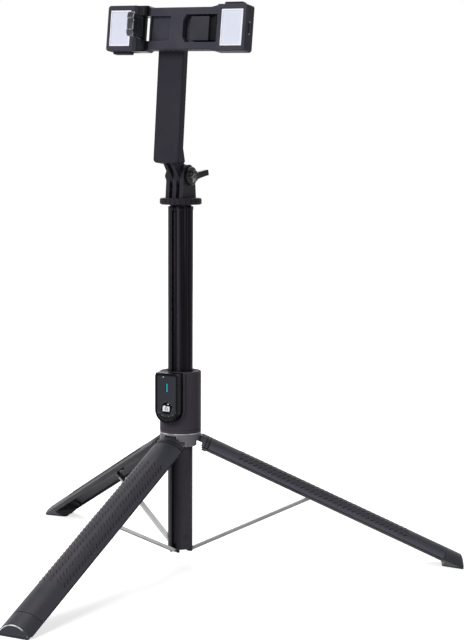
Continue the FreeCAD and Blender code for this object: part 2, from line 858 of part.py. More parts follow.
# Column with three channels that the folded struts lie in
def make_column():
    body = new_body("column_tube")
    sketch = new_sketch(body, "XY", "tube_bottom")
    circle(sketch, "0", "0", "tube_radius")
    circle(sketch, "0", "0", "tube_bore_radius")
    pad(body, sketch, "tube_top - tube_bottom")
    sketch = new_sketch(body, "XY", "tube_top")
    channel_outline(sketch, "channel_floor")
    channel = pocket(body, sketch, "tube_top - tube_bottom")
    sketch = new_sketch(body, "XZ")
    rectangle(sketch, "-cavity_outer_radius", "-cavity_inner_radius", "tube_bottom", "tube_top")
    cavity = spin(body, sketch, "Groove", "cavity_angle")
    around(body, [channel, cavity])
    at_leg(body, 0)

    body = new_body("column_base")
    sketch = new_sketch(body, "XZ")
    outline(sketch, [
        ("0", "base_bottom"),
        ("tube_radius - 0.6", "base_bottom"),
        ("tube_radius", "base_bottom + 0.6"),
        ("tube_radius", "tube_bottom"),
        ("tube_bore_radius - spigot_gap", "tube_bottom"),
        ("tube_bore_radius - spigot_gap", "tube_bottom + base_spigot_length"),
        ("0", "tube_bottom + base_spigot_length"),
    ])
    spin(body, sketch)
    # A lug under each strut's pivot
    sketch = new_sketch(body, "XZ")
    rectangle(
        sketch, "base_slot_floor", "tube_radius", "base_bottom - base_lug_depth", "tube_bottom - 1"
    )
    lug = spin(body, sketch, angle="base_lug_angle")
    sketch = new_sketch(body, "XY", "tube_bottom")
    channel_outline(sketch, "channel_floor")
    channel = pocket(body, sketch, "tube_bottom")
    sketch = new_sketch(body, "XY", "base_bottom + 2 * strut_thickness")
    channel_outline(sketch, "base_slot_floor")
    slot = pocket(body, sketch, "base_bottom")
    sketch = new_sketch(body, "XZ")
    circle(sketch, "strut_hinge_radius", "strut_base_height", "base_pin_radius")
    hole = pocket(body, sketch, "channel_width + 2 * base_pin_length", Midplane=True)
    around(body, [lug, channel, slot, hole])
    at_leg(body, 0)

    stubs = []
    for number, leg in enumerate(LEGS):
        sides = [
            cylinder(
                "base_pin_%s_%d" % (leg, side), "base_pin_radius", "base_pin_length",
                ("strut_hinge_radius", y, "strut_base_height"), "Y",
            )
            for side, y in enumerate(("channel_width / 2 + base_pin_length", "-channel_width / 2"))
        ]
        pair = several("base_pins_" + leg, sides)
        at_leg(pair, number)
        stubs.append(pair)
    keep(several("strut_base_pins", stubs), "strut_base_pins")

    body = new_body("column_cap")
    sketch = new_sketch(body, "XZ")
    rectangle(sketch, "tube_bore_radius", "tube_radius", "tube_top", "tube_top + cap_height")
    spin(body, sketch)
    doc.recompute()
    top = body.Shape.BoundBox.ZMax
    outer = size("tube_radius")
    soften(
        body, "cap_edge_radius",
        lambda e: abs(e.BoundBox.ZMin - top) < 1e-6 and abs(e.BoundBox.XMax - outer) < 1e-6,
    )


def channel_outline(sketch, floor):
    rectangle(sketch, floor, "2 * tube_radius", "-channel_width / 2", "channel_width / 2")


STAGES = 4


def make_stages():
    for number in range(1, STAGES + 1):
        body = new_body("stage_tube_%d" % number)
        outer = "tube_bore_radius - %d * stage_gap - %d * stage_wall" % (number, number - 1)
        sketch = new_sketch(body, "XZ")
        rectangle(
            sketch, "%s - stage_wall" % outer, outer,
            "tube_bottom + base_spigot_length + %d * stage_gap" % number,
            "tube_top + cap_height - stage_gap + %d * stage_rise / %d" % (number, STAGES),
        )
        spin(body, sketch)


# Head: neck, swivel ring with three fingers, tilt bolt, wing and nut
def make_head():
    body = new_body("head_neck")
    sketch = new_sketch(body, "XZ")
    last_bore = "tube_bore_radius - %d * stage_gap - %d * stage_wall - spigot_gap" % (STAGES, STAGES)
    outline(sketch, [
        ("0", "neck_bottom - 2 * neck_radius"),
        (last_bore, "neck_bottom - 2 * neck_radius"),
        (last_bore, "neck_bottom"),
        ("neck_radius - 0.3", "neck_bottom"),
        ("neck_radius", "neck_bottom + 0.3"),
        ("neck_radius", "ring_bottom - 0.1"),
        ("spindle_radius", "ring_bottom - 0.1"),
        ("spindle_radius", "(ring_bottom + ring_top) / 2"),
        ("0", "(ring_bottom + ring_top) / 2"),
    ])
    spin(body, sketch)

    body = new_body("head_ring")
    sketch = new_sketch(body, "XZ")
    bore = "spindle_radius + spindle_gap"
    bore_top = "(ring_bottom + ring_top) / 2 + spindle_gap"
    outline(sketch, [
        (bore, "ring_bottom"),
        ("ring_radius", "ring_bottom"),
        ("ring_radius", "ring_top"),
        ("0", "ring_top"),
        ("0", bore_top),
        (bore, bore_top),
    ])
    spin(body, sketch)
    rim = size("ring_radius")
    soften(body, "ring_edge", lambda e: abs(e.BoundBox.XMax - rim) < 1e-6 and not along(e, (0, 0, 1)))
    sketch = new_sketch(body, "XY", "ring_top")
    rectangle(
        sketch, "ring_radius - ring_notch_depth", "ring_radius + 1",
        "-ring_notch_width / 2", "ring_notch_width / 2",
    )
    notch = pocket(body, sketch, "ring_top - ring_bottom")
    around(body, [notch], "ring_notch_count")
    for step in (-1, 0, 1):
        for shape in ("web", "eye"):
            sketch = new_sketch(body, "YZ", "%d * finger_pitch" % step)
            if shape == "eye":
                circle(sketch, "0", "tilt_height", "finger_radius")
            else:
                outline(sketch, [
                    ("-finger_base", "ring_top - 0.2"),
                    ("finger_base", "ring_top - 0.2"),
                    ("finger_radius", "tilt_height"),
                    ("-finger_radius", "tilt_height"),
                ])
            pad(body, sketch, "finger_width", Midplane=True)
    sketch = new_sketch(body, "YZ")
    circle(sketch, "0", "tilt_height", "bolt_radius + pin_gap")
    pocket(body, sketch, "4 * finger_pitch", Midplane=True)

    fingers = "(finger_pitch + finger_width / 2)"
    bolt = cylinder(
        "tilt_bolt", "bolt_radius", "%s + nut_length + wing_start + wing_hub_length / 2" % fingers,
        ("-%s - nut_length" % fingers, "0", "tilt_height"), "X",
    )
    keep(bolt, "tilt_bolt")

    body = new_body("tilt_nut")
    sketch = new_sketch(body, "YZ", "-%s" % fingers)
    side = "nut_radius * cos(30)"
    outline(sketch, [
        ("nut_radius", "0"),
        ("nut_radius / 2", side),
        ("-nut_radius / 2", side),
        ("-nut_radius", "0"),
        ("-nut_radius / 2", "-" + side),
        ("nut_radius / 2", "-" + side),
    ])
    circle(sketch, "0", "0", "bolt_radius + pin_gap")
    pad(body, sketch, "nut_length", Reversed=True)
    bind(body, "Placement.Base.z", "tilt_height")

    body = new_body("wing_knob")
    sketch = new_sketch(body, "XY")
    outline(sketch, [
        ("wing_start", "bolt_radius + pin_gap"),
        ("wing_start", "wing_hub_radius"),
        ("wing_start + 2", "wing_hub_radius"),
        ("wing_start + wing_hub_length", "wing_hub_radius * 0.7"),
        ("wing_start + wing_hub_length", "0"),
        ("wing_start + wing_hub_length / 2 + 0.3", "0"),
        ("wing_start + wing_hub_length / 2 + 0.3", "bolt_radius + pin_gap"),
    ])
    spin(body, sketch, axis="H_Axis")
    sketch = new_sketch(body, "XY")
    for side in ("", "-"):
        outline(sketch, [
            ("wing_start + 1.5", side + "bolt_radius * 1.2"),
            ("wing_start + 1.5", side + "wing_hub_radius"),
            ("wing_start + 3.5", side + "wing_span * 0.42"),
            ("wing_start + 5.5", side + "wing_span / 2"),
            ("wing_start + 1.5 + wing_length * 0.8", side + "wing_span / 2"),
            ("wing_start + 1.5 + wing_length", side + "wing_span * 0.43"),
            ("wing_start + 1.5 + wing_length * 0.9", side + "wing_hub_radius * 1.2"),
            ("wing_start + wing_hub_length - 1", side + "wing_hub_radius * 0.6"),
        ])
    pad(body, sketch, "wing_thickness", Midplane=True)
    turn = "rotation(vector(1; 0; 0); wing_turn)"
    bind(body, "Placement", "placement(vector(0; 0; tilt_height); %s)" % turn)


# Arm that tilts on the fingers and carries the clamp
def make_arm():
    body = new_body("tilt_arm")
    back = "-(arm_front - arm_thickness)"
    foot_back = "-(arm_front - arm_foot_depth)"
    sketch = new_sketch(body, "YZ")
    outline(sketch, [
        ("-arm_front", "arm_bottom"),
        (foot_back, "arm_bottom"),
        (back, "arm_bottom + arm_foot_rise"),
        (back, "turn_height + arm_width / 2"),
        ("-arm_front", "turn_height + arm_width / 2"),
    ])
    pad(body, sketch, "arm_width", Midplane=True)
    front = -size("arm_front")
    side = size("arm_width") / 2
    top = size("turn_height") + side
    soften(
        body, "arm_end_radius",
        lambda e: along(e, (0, 1, 0)) and abs(abs(middle_of(e).x) - side) < 1e-6
        and abs(middle_of(e).z - top) < 1e-6,
    )
    low = size("arm_bottom")
    soften(
        body, "arm_corner",
        lambda e: along(e, (0, 1, 0)) and abs(abs(middle_of(e).x) - side) < 1e-6
        and abs(middle_of(e).z - low) < 1e-6,
    )
    soften(
        body, "arm_edge",
        lambda e: along(e, (0, 0, 1)) and abs(middle_of(e).y - front) < 1e-6
        and abs(abs(middle_of(e).x) - side) < 1e-6,
    )
    for step in ("-finger_pitch / 2", "finger_pitch / 2"):
        sketch = new_sketch(body, "YZ", step)
        circle(sketch, "0", "0", "finger_radius")
        pad(body, sketch, "prong_width", Midplane=True)
        sketch = new_sketch(body, "YZ", step)
        outline(sketch, [
            ("-prong_front", "arm_bottom + 0.5"),
            ("-finger_radius * 0.70", "-finger_radius * 0.71"),
            ("finger_radius * 0.38", "finger_radius * 0.92"),
            (foot_back, "arm_bottom + 2.5"),
        ])
        pad(body, sketch, "prong_width", Midplane=True)
    sketch = new_sketch(body, "YZ")
    circle(sketch, "0", "0", "bolt_radius + pin_gap")
    pocket(body, sketch, "4 * finger_pitch", Midplane=True)
    sketch = new_sketch(body, "XZ", "arm_front")
    circle(sketch, "0", "turn_height", "turn_screw_radius + pin_gap")
    pocket(body, sketch, "arm_thickness")
    leaning(body)


# Phone clamp, drawn about its turning axis
def make_turn():
    washer = several("turn_washer", [
        cut(
            "washer_ring",
            cylinder(
                "washer_disc", "washer_radius", "washer_thickness", ("0", "-arm_front", "0"), "Y"
            ),
            cylinder(
                "washer_hole", "turn_screw_radius + pin_gap", "washer_thickness",
                ("0", "-arm_front", "0"), "Y",
            ),
        )
    ])
    clamped(keep(washer, "turn_washer"))
    arm_back = "-(arm_front - arm_thickness)"
    screw = several("turn_screw", [
        cylinder(
            "screw_head", "turn_head_radius", "turn_head_thickness",
            ("0", arm_back + " + turn_head_thickness", "0"), "Y",
        ),
        cylinder(
            "screw_shank", "turn_screw_radius",
            "clamp_back + clamp_cover - arm_front + arm_thickness", ("0", arm_back, "0"), "Y",
        ),
    ], "MultiFuse")
    clamped(keep(screw, "turn_screw"))


def make_frame():
    body = new_body("clamp_back_cover")
    sketch = new_sketch(body, "XZ", "clamp_back + clamp_cover")
    clamp_plate(sketch)
    circle(sketch, "0", "0", "turn_screw_radius + pin_gap")
    pad(body, sketch, "clamp_cover", Reversed=True)
    clamped(body)

    body = new_body("clamp_frame")
    sketch = new_sketch(body, "XZ", "clamp_front")
    clamp_plate(sketch)
    pad(body, sketch, "clamp_front - clamp_back - clamp_cover", Reversed=True)
    front = -size("clamp_front")
    soften(
        body, "arm_edge",
        lambda e: abs(e.BoundBox.YMax - front) < 1e-6 and not along(e, (0, 0, 1)),
    )
    sketch = new_sketch(body, "XZ", "clamp_front")
    rectangle(
        sketch, "-left_recess_left", "left_recess_right",
        "-recess_half_height", "recess_half_height",
    )
    pocket(body, sketch, "left_recess_depth")
    sketch = new_sketch(body, "XZ", "clamp_front")
    corner_x = "right_recess_left + right_recess_corner_length"
    corner_z = "(right_recess_half_height - right_recess_corner_height)"
    outline(sketch, [
        ("right_recess_left", "-" + corner_z),
        (corner_x, "-right_recess_half_height"),
        ("clamp_right + 1", "-right_recess_half_height"),
        ("clamp_right + 1", "right_recess_half_height"),
        (corner_x, "right_recess_half_height"),
        ("right_recess_left", corner_z),
    ])
    pocket(body, sketch, "right_recess_depth")
    sketch = new_sketch(body, "YZ", "-clamp_left")
    for side in ("", "-"):
        circle(sketch, "-rod_depth", side + "rod_spacing", "rod_radius + rod_gap")
    pocket(body, sketch, "clamp_left + rod_end + 1", Reversed=True)
    sketch = new_sketch(body, "XY")
    circle(sketch, "right_hinge_right", "-right_hinge_front", "jaw_pin_radius")
    pocket(body, sketch, RIGHT_PIN_LENGTH, Midplane=True)
    clamped(body)


def clamp_plate(sketch):
    """The frame seen from the front: its right end rises to the lamp's height."""
    outline(sketch, [
        ("-clamp_left", "-clamp_half_height"),
        ("clamp_right - clamp_end_slope", "-clamp_half_height"),
        ("clamp_right", "-lamp_height / 2"),
        ("clamp_right", "lamp_height / 2"),
        ("clamp_right - clamp_end_slope", "clamp_half_height"),
        ("-clamp_left", "clamp_half_height"),
    ])


LEFT_PIN_LENGTH = "(2 * clamp_half_height - 2)"
RIGHT_PIN_LENGTH = "(2 * right_recess_half_height + 5)"


def make_slider():
    """The sliding end: an open frame with ears for the left jaw's pin."""
    body = new_body("clamp_slider")
    sketch = new_sketch(body, "XZ", "clamp_front")
    right = "(-clamp_left - slider_gap)"
    outline(sketch, [
        ("-slider_left", "-lamp_height / 2"),
        (right + " - slider_slope", "-lamp_height / 2"),
        (right, "-clamp_half_height"),
        (right, "clamp_half_height"),
        (right + " - slider_slope", "lamp_height / 2"),
        ("-slider_left", "lamp_height / 2"),
    ])
    pad(body, sketch, "clamp_front - clamp_back", Reversed=True)
    ear_height = "clamp_half_height - recess_half_height"
    for sign in ("", "-"):
        middle = sign + "(clamp_half_height + recess_half_height) / 2"
        for shape in ("ear", "web"):
            sketch = new_sketch(body, "XY", middle)
            if shape == "ear":
                circle(sketch, "-jaw_hinge_left", "-jaw_hinge_front", "jaw_ear_radius")
            else:
                rectangle(
                    sketch, "-jaw_hinge_left - jaw_ear_radius", "-jaw_hinge_left + jaw_ear_radius",
                    "-jaw_hinge_front", "-clamp_front + 1",
                )
            pad(body, sketch, ear_height, Midplane=True)
    # The opening between the end wall and the frame, where the jaw's knuckle turns
    sketch = new_sketch(body, "XZ", "jaw_hinge_front + jaw_ear_radius")
    rectangle(
        sketch, "-slider_left + slider_wall", "-clamp_left",
        "-recess_half_height", "recess_half_height",
    )
    pocket(body, sketch, "jaw_hinge_front + jaw_ear_radius - clamp_back")
    sketch = new_sketch(body, "XY")
    circle(sketch, "-jaw_hinge_left", "-jaw_hinge_front", "jaw_pin_radius")
    pocket(body, sketch, LEFT_PIN_LENGTH, Midplane=True)
    sketch = new_sketch(body, "YZ", "-clamp_left")
    for side in ("", "-"):
        circle(sketch, "-rod_depth", side + "rod_spacing", "rod_radius")
    pocket(body, sketch, "slider_left - clamp_left - rod_seat")
    clamped(body)

    rods = several("slider_rods", [
        cylinder(
            "slider_rod_%d" % number, "rod_radius", "slider_left - rod_seat + rod_end",
            ("-slider_left + rod_seat", "-rod_depth", side + "rod_spacing"), "X",
        )
        for number, side in enumerate(("", "-"))
    ])
    clamped(keep(rods, "slider_rods"))


def make_jaw(name, pin_length):
    """A jaw with its pad, drawn about its hinge: it stands along -Y and holds on its +X side."""
    body = new_body(name)
    half = "jaw_thickness / 2"
    sketch = new_sketch(body, "XY", "-jaw_half_height")
    circle(sketch, "0", "0", "jaw_knuckle_radius")
    pad(body, sketch, "2 * jaw_half_height")
    # A lip along the tip keeps the phone from slipping out
    sketch = new_sketch(body, "XY", "-jaw_half_height")
    outline(sketch, [
        ("-" + half, "0"),
        (half, "0"),
        (half, "-jaw_length + jaw_lip_length"),
        (half + " + jaw_lip_height", "-jaw_length + jaw_lip_length"),
        (half + " + jaw_lip_height", "-jaw_length"),
        ("-" + half, "-jaw_length"),
    ])
    pad(body, sketch, "2 * jaw_half_height")
    tip = -size("jaw_length")
    back = -size("jaw_thickness") / 2
    soften(
        body, "jaw_round",
        lambda e: along(e, (0, 0, 1)) and abs(middle_of(e).y - tip) < 1e-6
        and abs(middle_of(e).x - back) < 1e-6,
    )
    sketch = new_sketch(body, "XY")
    circle(sketch, "0", "0", "jaw_pin_radius + pin_gap")
    pocket(body, sketch, "2 * jaw_half_height", Midplane=True)

    pad_body = new_body(name + "_pad")
    sketch = new_sketch(pad_body, "YZ", half)
    rectangle(
        sketch, "-jaw_pad_start - jaw_pad_length", "-jaw_pad_start",
        "-jaw_pad_half_height", "jaw_pad_half_height",
    )
    pad(pad_body, sketch, "jaw_pad_thickness")
    edge_x = size("jaw_thickness") / 2 + size("jaw_pad_thickness")
    soften(pad_body, "jaw_pad_thickness / 3", lambda e: abs(e.BoundBox.XMin - edge_x) < 1e-6)

    pin = cylinder(
        name + "_bar", "jaw_pin_radius", pin_length, ("0", "0", "-%s / 2" % pin_length)
    )
    return body, pad_body, keep(several(name + "_pin", [pin]), name + "_pin")


def make_jaws():
    for piece in make_jaw("left_jaw", LEFT_PIN_LENGTH):
        clamped(piece, "vector(-jaw_hinge_left; -jaw_hinge_front; 0)")
    # The right jaw lies folded in its recess and holds on its other side, so it is turned over
    for piece in make_jaw("right_jaw", RIGHT_PIN_LENGTH):
        clamped(
            piece, "vector(right_hinge_right; -right_hinge_front; 0)",
            "rotation(vector(0; 0; 1); -90) * rotation(vector(0; 1; 0); 180)",
        )


# Lamps: one design, the left one turned half round
def make_lamp(side, turned):
    housing = new_body(side + "_lamp_housing")
    half_width = "lamp_width / 2"
    half_height = "lamp_height / 2"
    sketch = new_sketch(housing, "XY")
    outline(sketch, [
        ("-" + half_width, "-clamp_back"),
        (half_width, "-clamp_back"),
        (half_width, "-lamp_front"),
        ("lamp_bevel - " + half_width, "-lamp_front"),
        ("-" + half_width, "lamp_bevel - lamp_front"),
    ])
    pad(housing, sketch, "lamp_height", Midplane=True)
    bevel_end = size("lamp_bevel") - size("lamp_width") / 2
    front = -size("lamp_front")
    soften(
        housing, "lamp_corner",
        lambda e: along(e, (0, 1, 0)) and middle_of(e).x > 0,
    )
    soften(
        housing, "lamp_edge",
        lambda e: abs(e.BoundBox.YMax - front) < 1e-6 and middle_of(e).x > bevel_end + 1e-3,
    )
    sketch = new_sketch(housing, "XZ", "lamp_front")
    diffuser_outline(sketch)
    pocket(housing, sketch, "diffuser_depth + diffuser_inset")
    middle_y = "-(clamp_back + lamp_front) / 2"
    sketch = new_sketch(housing, "XY", half_height)
    button_outline(sketch, middle_y, "lamp_button_gap")
    pocket(
        housing, sketch,
        "lamp_button_depth + lamp_button_travel - lamp_button_proud + lamp_button_gap",
    )
    sketch = new_sketch(housing, "YZ", half_width)
    long = "port_length / 2"
    for_port = middle_y + " - port_shift"
    near, far = for_port + " - port_width / 2", for_port + " + port_width / 2"
    outline(sketch, [
        (near, "-" + long + " + port_corner"),
        (near + " + port_corner", "-" + long),
        (far + " - port_corner", "-" + long),
        (far, "-" + long + " + port_corner"),
        (far, long + " - port_corner"),
        (far + " - port_corner", long),
        (near + " + port_corner", long),
        (near, long + " - port_corner"),
    ])
    pocket(housing, sketch, "port_depth")

    diffuser = new_body(side + "_lamp_diffuser")
    sketch = new_sketch(diffuser, "XZ", "lamp_front - diffuser_inset")
    diffuser_outline(sketch)
    pad(diffuser, sketch, "diffuser_depth", Reversed=True)

    button = new_body(side + "_lamp_button")
    sketch = new_sketch(button, "XY", half_height + " + lamp_button_proud")
    button_outline(sketch, middle_y, "0")
    pad(button, sketch, "lamp_button_depth", Reversed=True)
    top = size("lamp_height") / 2 + size("lamp_button_proud")
    soften(button, "lamp_button_proud * 0.4", lambda e: abs(e.BoundBox.ZMin - top) < 1e-6)

    for piece in (housing, diffuser, button):
        if turned:
            clamped(
                piece, "vector(-slider_left - lamp_width / 2; 0; 0)", "rotation(vector(0; 1; 0); 180)"
            )
        else:
            clamped(piece, "vector(clamp_right + lamp_width / 2; 0; 0)")


def diffuser_outline(sketch):
    rectangle(
        sketch, "diffuser_shift - diffuser_width / 2", "diffuser_shift + diffuser_width / 2",
        "-diffuser_height / 2", "diffuser_height / 2",
    )


def button_outline(sketch, middle_y, grow):
    half_length = "(lamp_button_length / 2 + %s)" % grow
    half_width = "(lamp_button_width / 2 + %s)" % grow
    rectangle(
        sketch, "-" + half_length, half_length,
        middle_y + " - " + half_width, middle_y + " + " + half_width,
    )


make_sleeve()
make_remote()
make_collar()
make_legs()
make_column()
make_stages()
make_head()
make_arm()
make_turn()
make_frame()
make_slider()
make_jaws()
make_lamp("right", False)
make_lamp("left", True)
doc.recompute()

# Every object has to be sound before anything is written
for item in doc.Objects:
    if "Invalid" in item.State or "Error" in item.State:
        raise RuntimeError("%s is not valid" % item.Name)
for piece in PIECES:
    if piece.Shape.isNull() or not piece.Shape.isValid():
        raise RuntimeError("%s has no sound shape" % piece.Label)

os.makedirs("parts", exist_ok=True)
for piece in PIECES:
    piece.Shape.exportStep("parts/%s.step" % piece.Label)
print("pieces:", len(PIECES))
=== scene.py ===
import math
import bpy
from mathutils import Euler, Matrix, Vector


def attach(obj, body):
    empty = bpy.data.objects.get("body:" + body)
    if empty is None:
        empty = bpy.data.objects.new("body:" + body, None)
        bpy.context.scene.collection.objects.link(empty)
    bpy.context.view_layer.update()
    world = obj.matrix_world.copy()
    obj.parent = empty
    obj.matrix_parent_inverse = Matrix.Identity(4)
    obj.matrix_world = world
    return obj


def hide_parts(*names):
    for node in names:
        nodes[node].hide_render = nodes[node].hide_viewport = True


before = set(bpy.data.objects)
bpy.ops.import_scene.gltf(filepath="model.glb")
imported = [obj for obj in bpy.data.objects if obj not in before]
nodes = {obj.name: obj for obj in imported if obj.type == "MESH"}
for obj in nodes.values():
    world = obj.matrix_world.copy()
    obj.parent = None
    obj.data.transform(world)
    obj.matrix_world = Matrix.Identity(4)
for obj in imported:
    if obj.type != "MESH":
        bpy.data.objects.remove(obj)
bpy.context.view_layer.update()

# Places that the pieces share with the solids, in millimetres and degrees
MM = 0.001
LEG_AZIMUTH = {"front": -90, "right": 30, "left": 150}
LEG_OPEN = 64.7
LEG_RADIUS = 16.0
HINGE_RADIUS = 12
HINGE_HEIGHT = 102.2
STRUT_HINGE_RADIUS = 8.3
STRUT_WIDTH = 4
STRUT_SLOPE = 66
BRACKET_DISTANCE = 102.5
TOE_REACH = 218.94
TILT_HEIGHT = 301.4
ARM_LEAN = 5.5
ARM_BACK = 17
TURN_HEIGHT = 106.1
CLAMP_ROLL = 1.3
CLAMP_BACK = 24.6
REMOTE_FRONT = 21
SHUTTER_FRONT = 21.5
SHUTTER_HEIGHT = 126.4


# Modelling by hand: primitives, edit-mode steps and applied modifiers
def metres(values):
    return tuple(value * MM for value in values)


def start_clean():
    """Leave edit mode and take everything out of the selection."""
    if bpy.context.object and bpy.context.object.mode != "OBJECT":
        bpy.ops.object.mode_set(mode="OBJECT")
    bpy.ops.object.select_all(action="DESELECT")


def choose(piece):
    start_clean()
    piece.select_set(True)
    bpy.context.view_layer.objects.active = piece


def settle(piece):
    """Put the piece's place into its mesh."""
    choose(piece)
    bpy.ops.object.transform_apply(location=True, rotation=True, scale=True)
    return piece


def named(name):
    piece = bpy.context.object
    piece.name = name
    piece.data.name = name
    return settle(piece)


def block(name, low, high):
    """A box between two corners."""
    start_clean()
    middle = [(a + b) / 2 for a, b in zip(low, high)]
    bpy.ops.mesh.primitive_cube_add(size=1, location=metres(middle))
    bpy.context.object.scale = metres([b - a for a, b in zip(low, high)])
    return named(name)


TURN_TO = {"X": (0, math.pi / 2, 0), "Y": (math.pi / 2, 0, 0), "Z": (0, 0, 0)}


def rod(name, radius, length, middle, axis="Z", sides=32):
    """A round bar along an axis, about its middle."""
    start_clean()
    bpy.ops.mesh.primitive_cylinder_add(
        vertices=sides, radius=radius * MM, depth=length * MM, location=metres(middle),
        rotation=TURN_TO[axis],
    )
    return named(name)


def pick(piece, kind, chosen):
    """Open the piece and select its points or faces by their place, in millimetres."""
    choose(piece)
    bpy.ops.object.mode_set(mode="EDIT")
    bpy.ops.mesh.select_mode(type=kind)
    bpy.ops.mesh.select_all(action="DESELECT")
    bpy.ops.object.mode_set(mode="OBJECT")
    mesh = piece.data
    if kind == "FACE":
        for face in mesh.polygons:
            face.select = chosen(face.center / MM, face.normal)
    else:
        for point in mesh.vertices:
            point.select = chosen(point.co / MM)
    bpy.ops.object.mode_set(mode="EDIT")


def pick_all(piece):
    pick(piece, "FACE", lambda c, n: True)


def close(piece):
    bpy.ops.object.mode_set(mode="OBJECT")
    return piece


def shift(x=0, y=0, z=0):
    bpy.ops.transform.translate(value=metres((x, y, z)))


def shrink(x=1, y=1, z=1):
    bpy.ops.transform.resize(value=(x, y, z))


def pull(x=0, y=0, z=0):
    """Extrude the selected faces by a step."""
    bpy.ops.mesh.extrude_region_move(TRANSFORM_OT_translate={"value": metres((x, y, z))})


def inset(width, depth=0):
    bpy.ops.mesh.inset(thickness=width * MM, depth=depth * MM)


def slice_at(piece, points, normal):
    """Cut the whole piece along planes through the points."""
    for point in points:
        pick_all(piece)
        bpy.ops.mesh.bisect(plane_co=metres(point), plane_no=normal)
        close(piece)


def apply(piece, kind, **values):
    """Put a modifier on the piece and apply it."""
    choose(piece)
    modifier = piece.modifiers.new(kind.lower(), kind)
    for key, value in values.items():
        setattr(modifier, key, value)
    bpy.ops.object.modifier_apply(modifier=modifier.name)
    return piece


def soften(piece, width, segments=2, angle=35):
    """Bevel the edges that are sharper than an angle in degrees."""
    return apply(
        piece, "BEVEL", width=width * MM, segments=segments, limit_method="ANGLE",
        angle_limit=math.radians(angle), harden_normals=False,
    )


def smooth(piece, angle=38):
    choose(piece)
    bpy.ops.object.shade_smooth_by_angle(angle=math.radians(angle))
    return piece


def carve(piece, cutter):
    """Cut one piece out of another, and use it up."""
    apply(piece, "BOOLEAN", operation="DIFFERENCE", solver="EXACT", object=cutter)
    bpy.data.objects.remove(cutter)
    return piece


def repeat(piece, count, step):
    return apply(
        piece, "ARRAY", count=count, use_relative_offset=False, use_constant_offset=True,
        constant_offset_displace=metres(step),
    )


def copy_of(piece, name, turned=None):
    """A copy with a mesh of its own, turned by a matrix."""
    choose(piece)
    bpy.ops.object.duplicate(linked=False)
    twin = bpy.context.object
    if turned is not None:
        twin.matrix_world = turned @ twin.matrix_world
    return named(name)


def join(first, *others):
    choose(first)
    for other in others:
        other.select_set(True)
    bpy.ops.object.join()
    return first


def right_way_out(piece):
    """Merge doubles and turn every face outwards."""
    pick_all(piece)
    bpy.ops.mesh.remove_doubles(threshold=0.001 * MM)
    bpy.ops.mesh.normals_make_consistent(inside=False)
    return close(piece)


def hollow_out(piece, wall, axis):
    """Make a ring: both end faces are inset and the hole between them is bridged."""
    index = "XYZ".index(axis)
    pick(piece, "FACE", lambda c, n: abs(n[index]) > 0.9)
    inset(wall)
    bpy.ops.mesh.bridge_edge_loops()
    close(piece)
    return right_way_out(piece)


def place(piece, where, body, finish, stands_for=()):
    """Set the piece in the object's frame with its finish, and let it ride on its body."""
    piece.matrix_world = where
    settle(piece)
    piece.data.materials.clear()
    piece.data.materials.append(FINISHES[finish])
    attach(piece, body)
    if stands_for:
        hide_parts(*stands_for)
    return piece


# Where each moving frame stands at rest
def move(x, y, z):
    return Matrix.Translation(metres((x, y, z)))


def turn(angle, axis):
    return Matrix.Rotation(math.radians(angle), 4, axis)


LEANING = move(0, 0, TILT_HEIGHT) @ turn(-ARM_LEAN, "X")
CLAMPED = LEANING @ move(0, 0, TURN_HEIGHT) @ turn(CLAMP_ROLL, "Y")


def leg_place(leg):
    """From a folded leg, upright and facing +X, to the open leg."""
    swing = move(HINGE_RADIUS, 0, HINGE_HEIGHT) @ turn(-LEG_OPEN, "Y") @ move(-HINGE_RADIUS, 0, 0)
    return turn(LEG_AZIMUTH[leg], "Z") @ swing


def on_each_leg(piece, name, finish):
    """Put a copy of a piece of the folded leg on all three legs, and take the first away."""
    for leg in LEG_AZIMUTH:
        place(copy_of(piece, name + "_" + leg), leg_place(leg), "leg_" + leg, finish)
    bpy.data.objects.remove(piece)


# Shader groups that the finishes share
def new_group(name, inputs, outputs):
    group = bpy.data.node_groups.new(name, "ShaderNodeTree")
    for socket, kind, value in inputs:
        item = group.interface.new_socket(
            socket, in_out="INPUT", socket_type="NodeSocket" + kind)
        if value is not None:
            item.default_value = value
    for socket, kind in outputs:
        group.interface.new_socket(socket, in_out="OUTPUT", socket_type="NodeSocket" + kind)
    return group, group.nodes.new("NodeGroupInput"), group.nodes.new("NodeGroupOutput")


def add_node(tree, kind, **values):
    """A node with its properties and unlinked inputs set; a tuple (node, socket) links."""
    node = tree.nodes.new("ShaderNode" + kind)
    for key, value in values.items():
        if hasattr(node, key) and key not in node.inputs:
            setattr(node, key, value)
    for key, value in values.items():
        if key in node.inputs:
            plug(tree, value, node.inputs[key])
    return node


def plug(tree, value, socket):
    if isinstance(value, tuple) and len(value) == 2 and hasattr(value[0], "outputs"):
        tree.links.new(value[0].outputs[value[1]], socket)
    else:
        socket.default_value = value


def math_node(tree, operation, first, second=0.0):
    node = tree.nodes.new("ShaderNodeMath")
    node.operation = operation
    plug(tree, first, node.inputs[0])
    plug(tree, second, node.inputs[1])
    return node


def vector_node(tree, operation, first, second):
    node = tree.nodes.new("ShaderNodeVectorMath")
    node.operation = operation
    plug(tree, first, node.inputs[0])
    plug(tree, second, node.inputs[1])
    return node


def ramp(tree, value, low, high, start=0.0, end=1.0):
    """Map a value from low..high to start..end, kept inside."""
    node = add_node(tree, "MapRange")
    plug(tree, value, node.inputs["Value"])
    sockets = ("From Min", "From Max", "To Min", "To Max")
    for socket, number in zip(sockets, (low, high, start, end)):
        node.inputs[socket].default_value = number
    return node


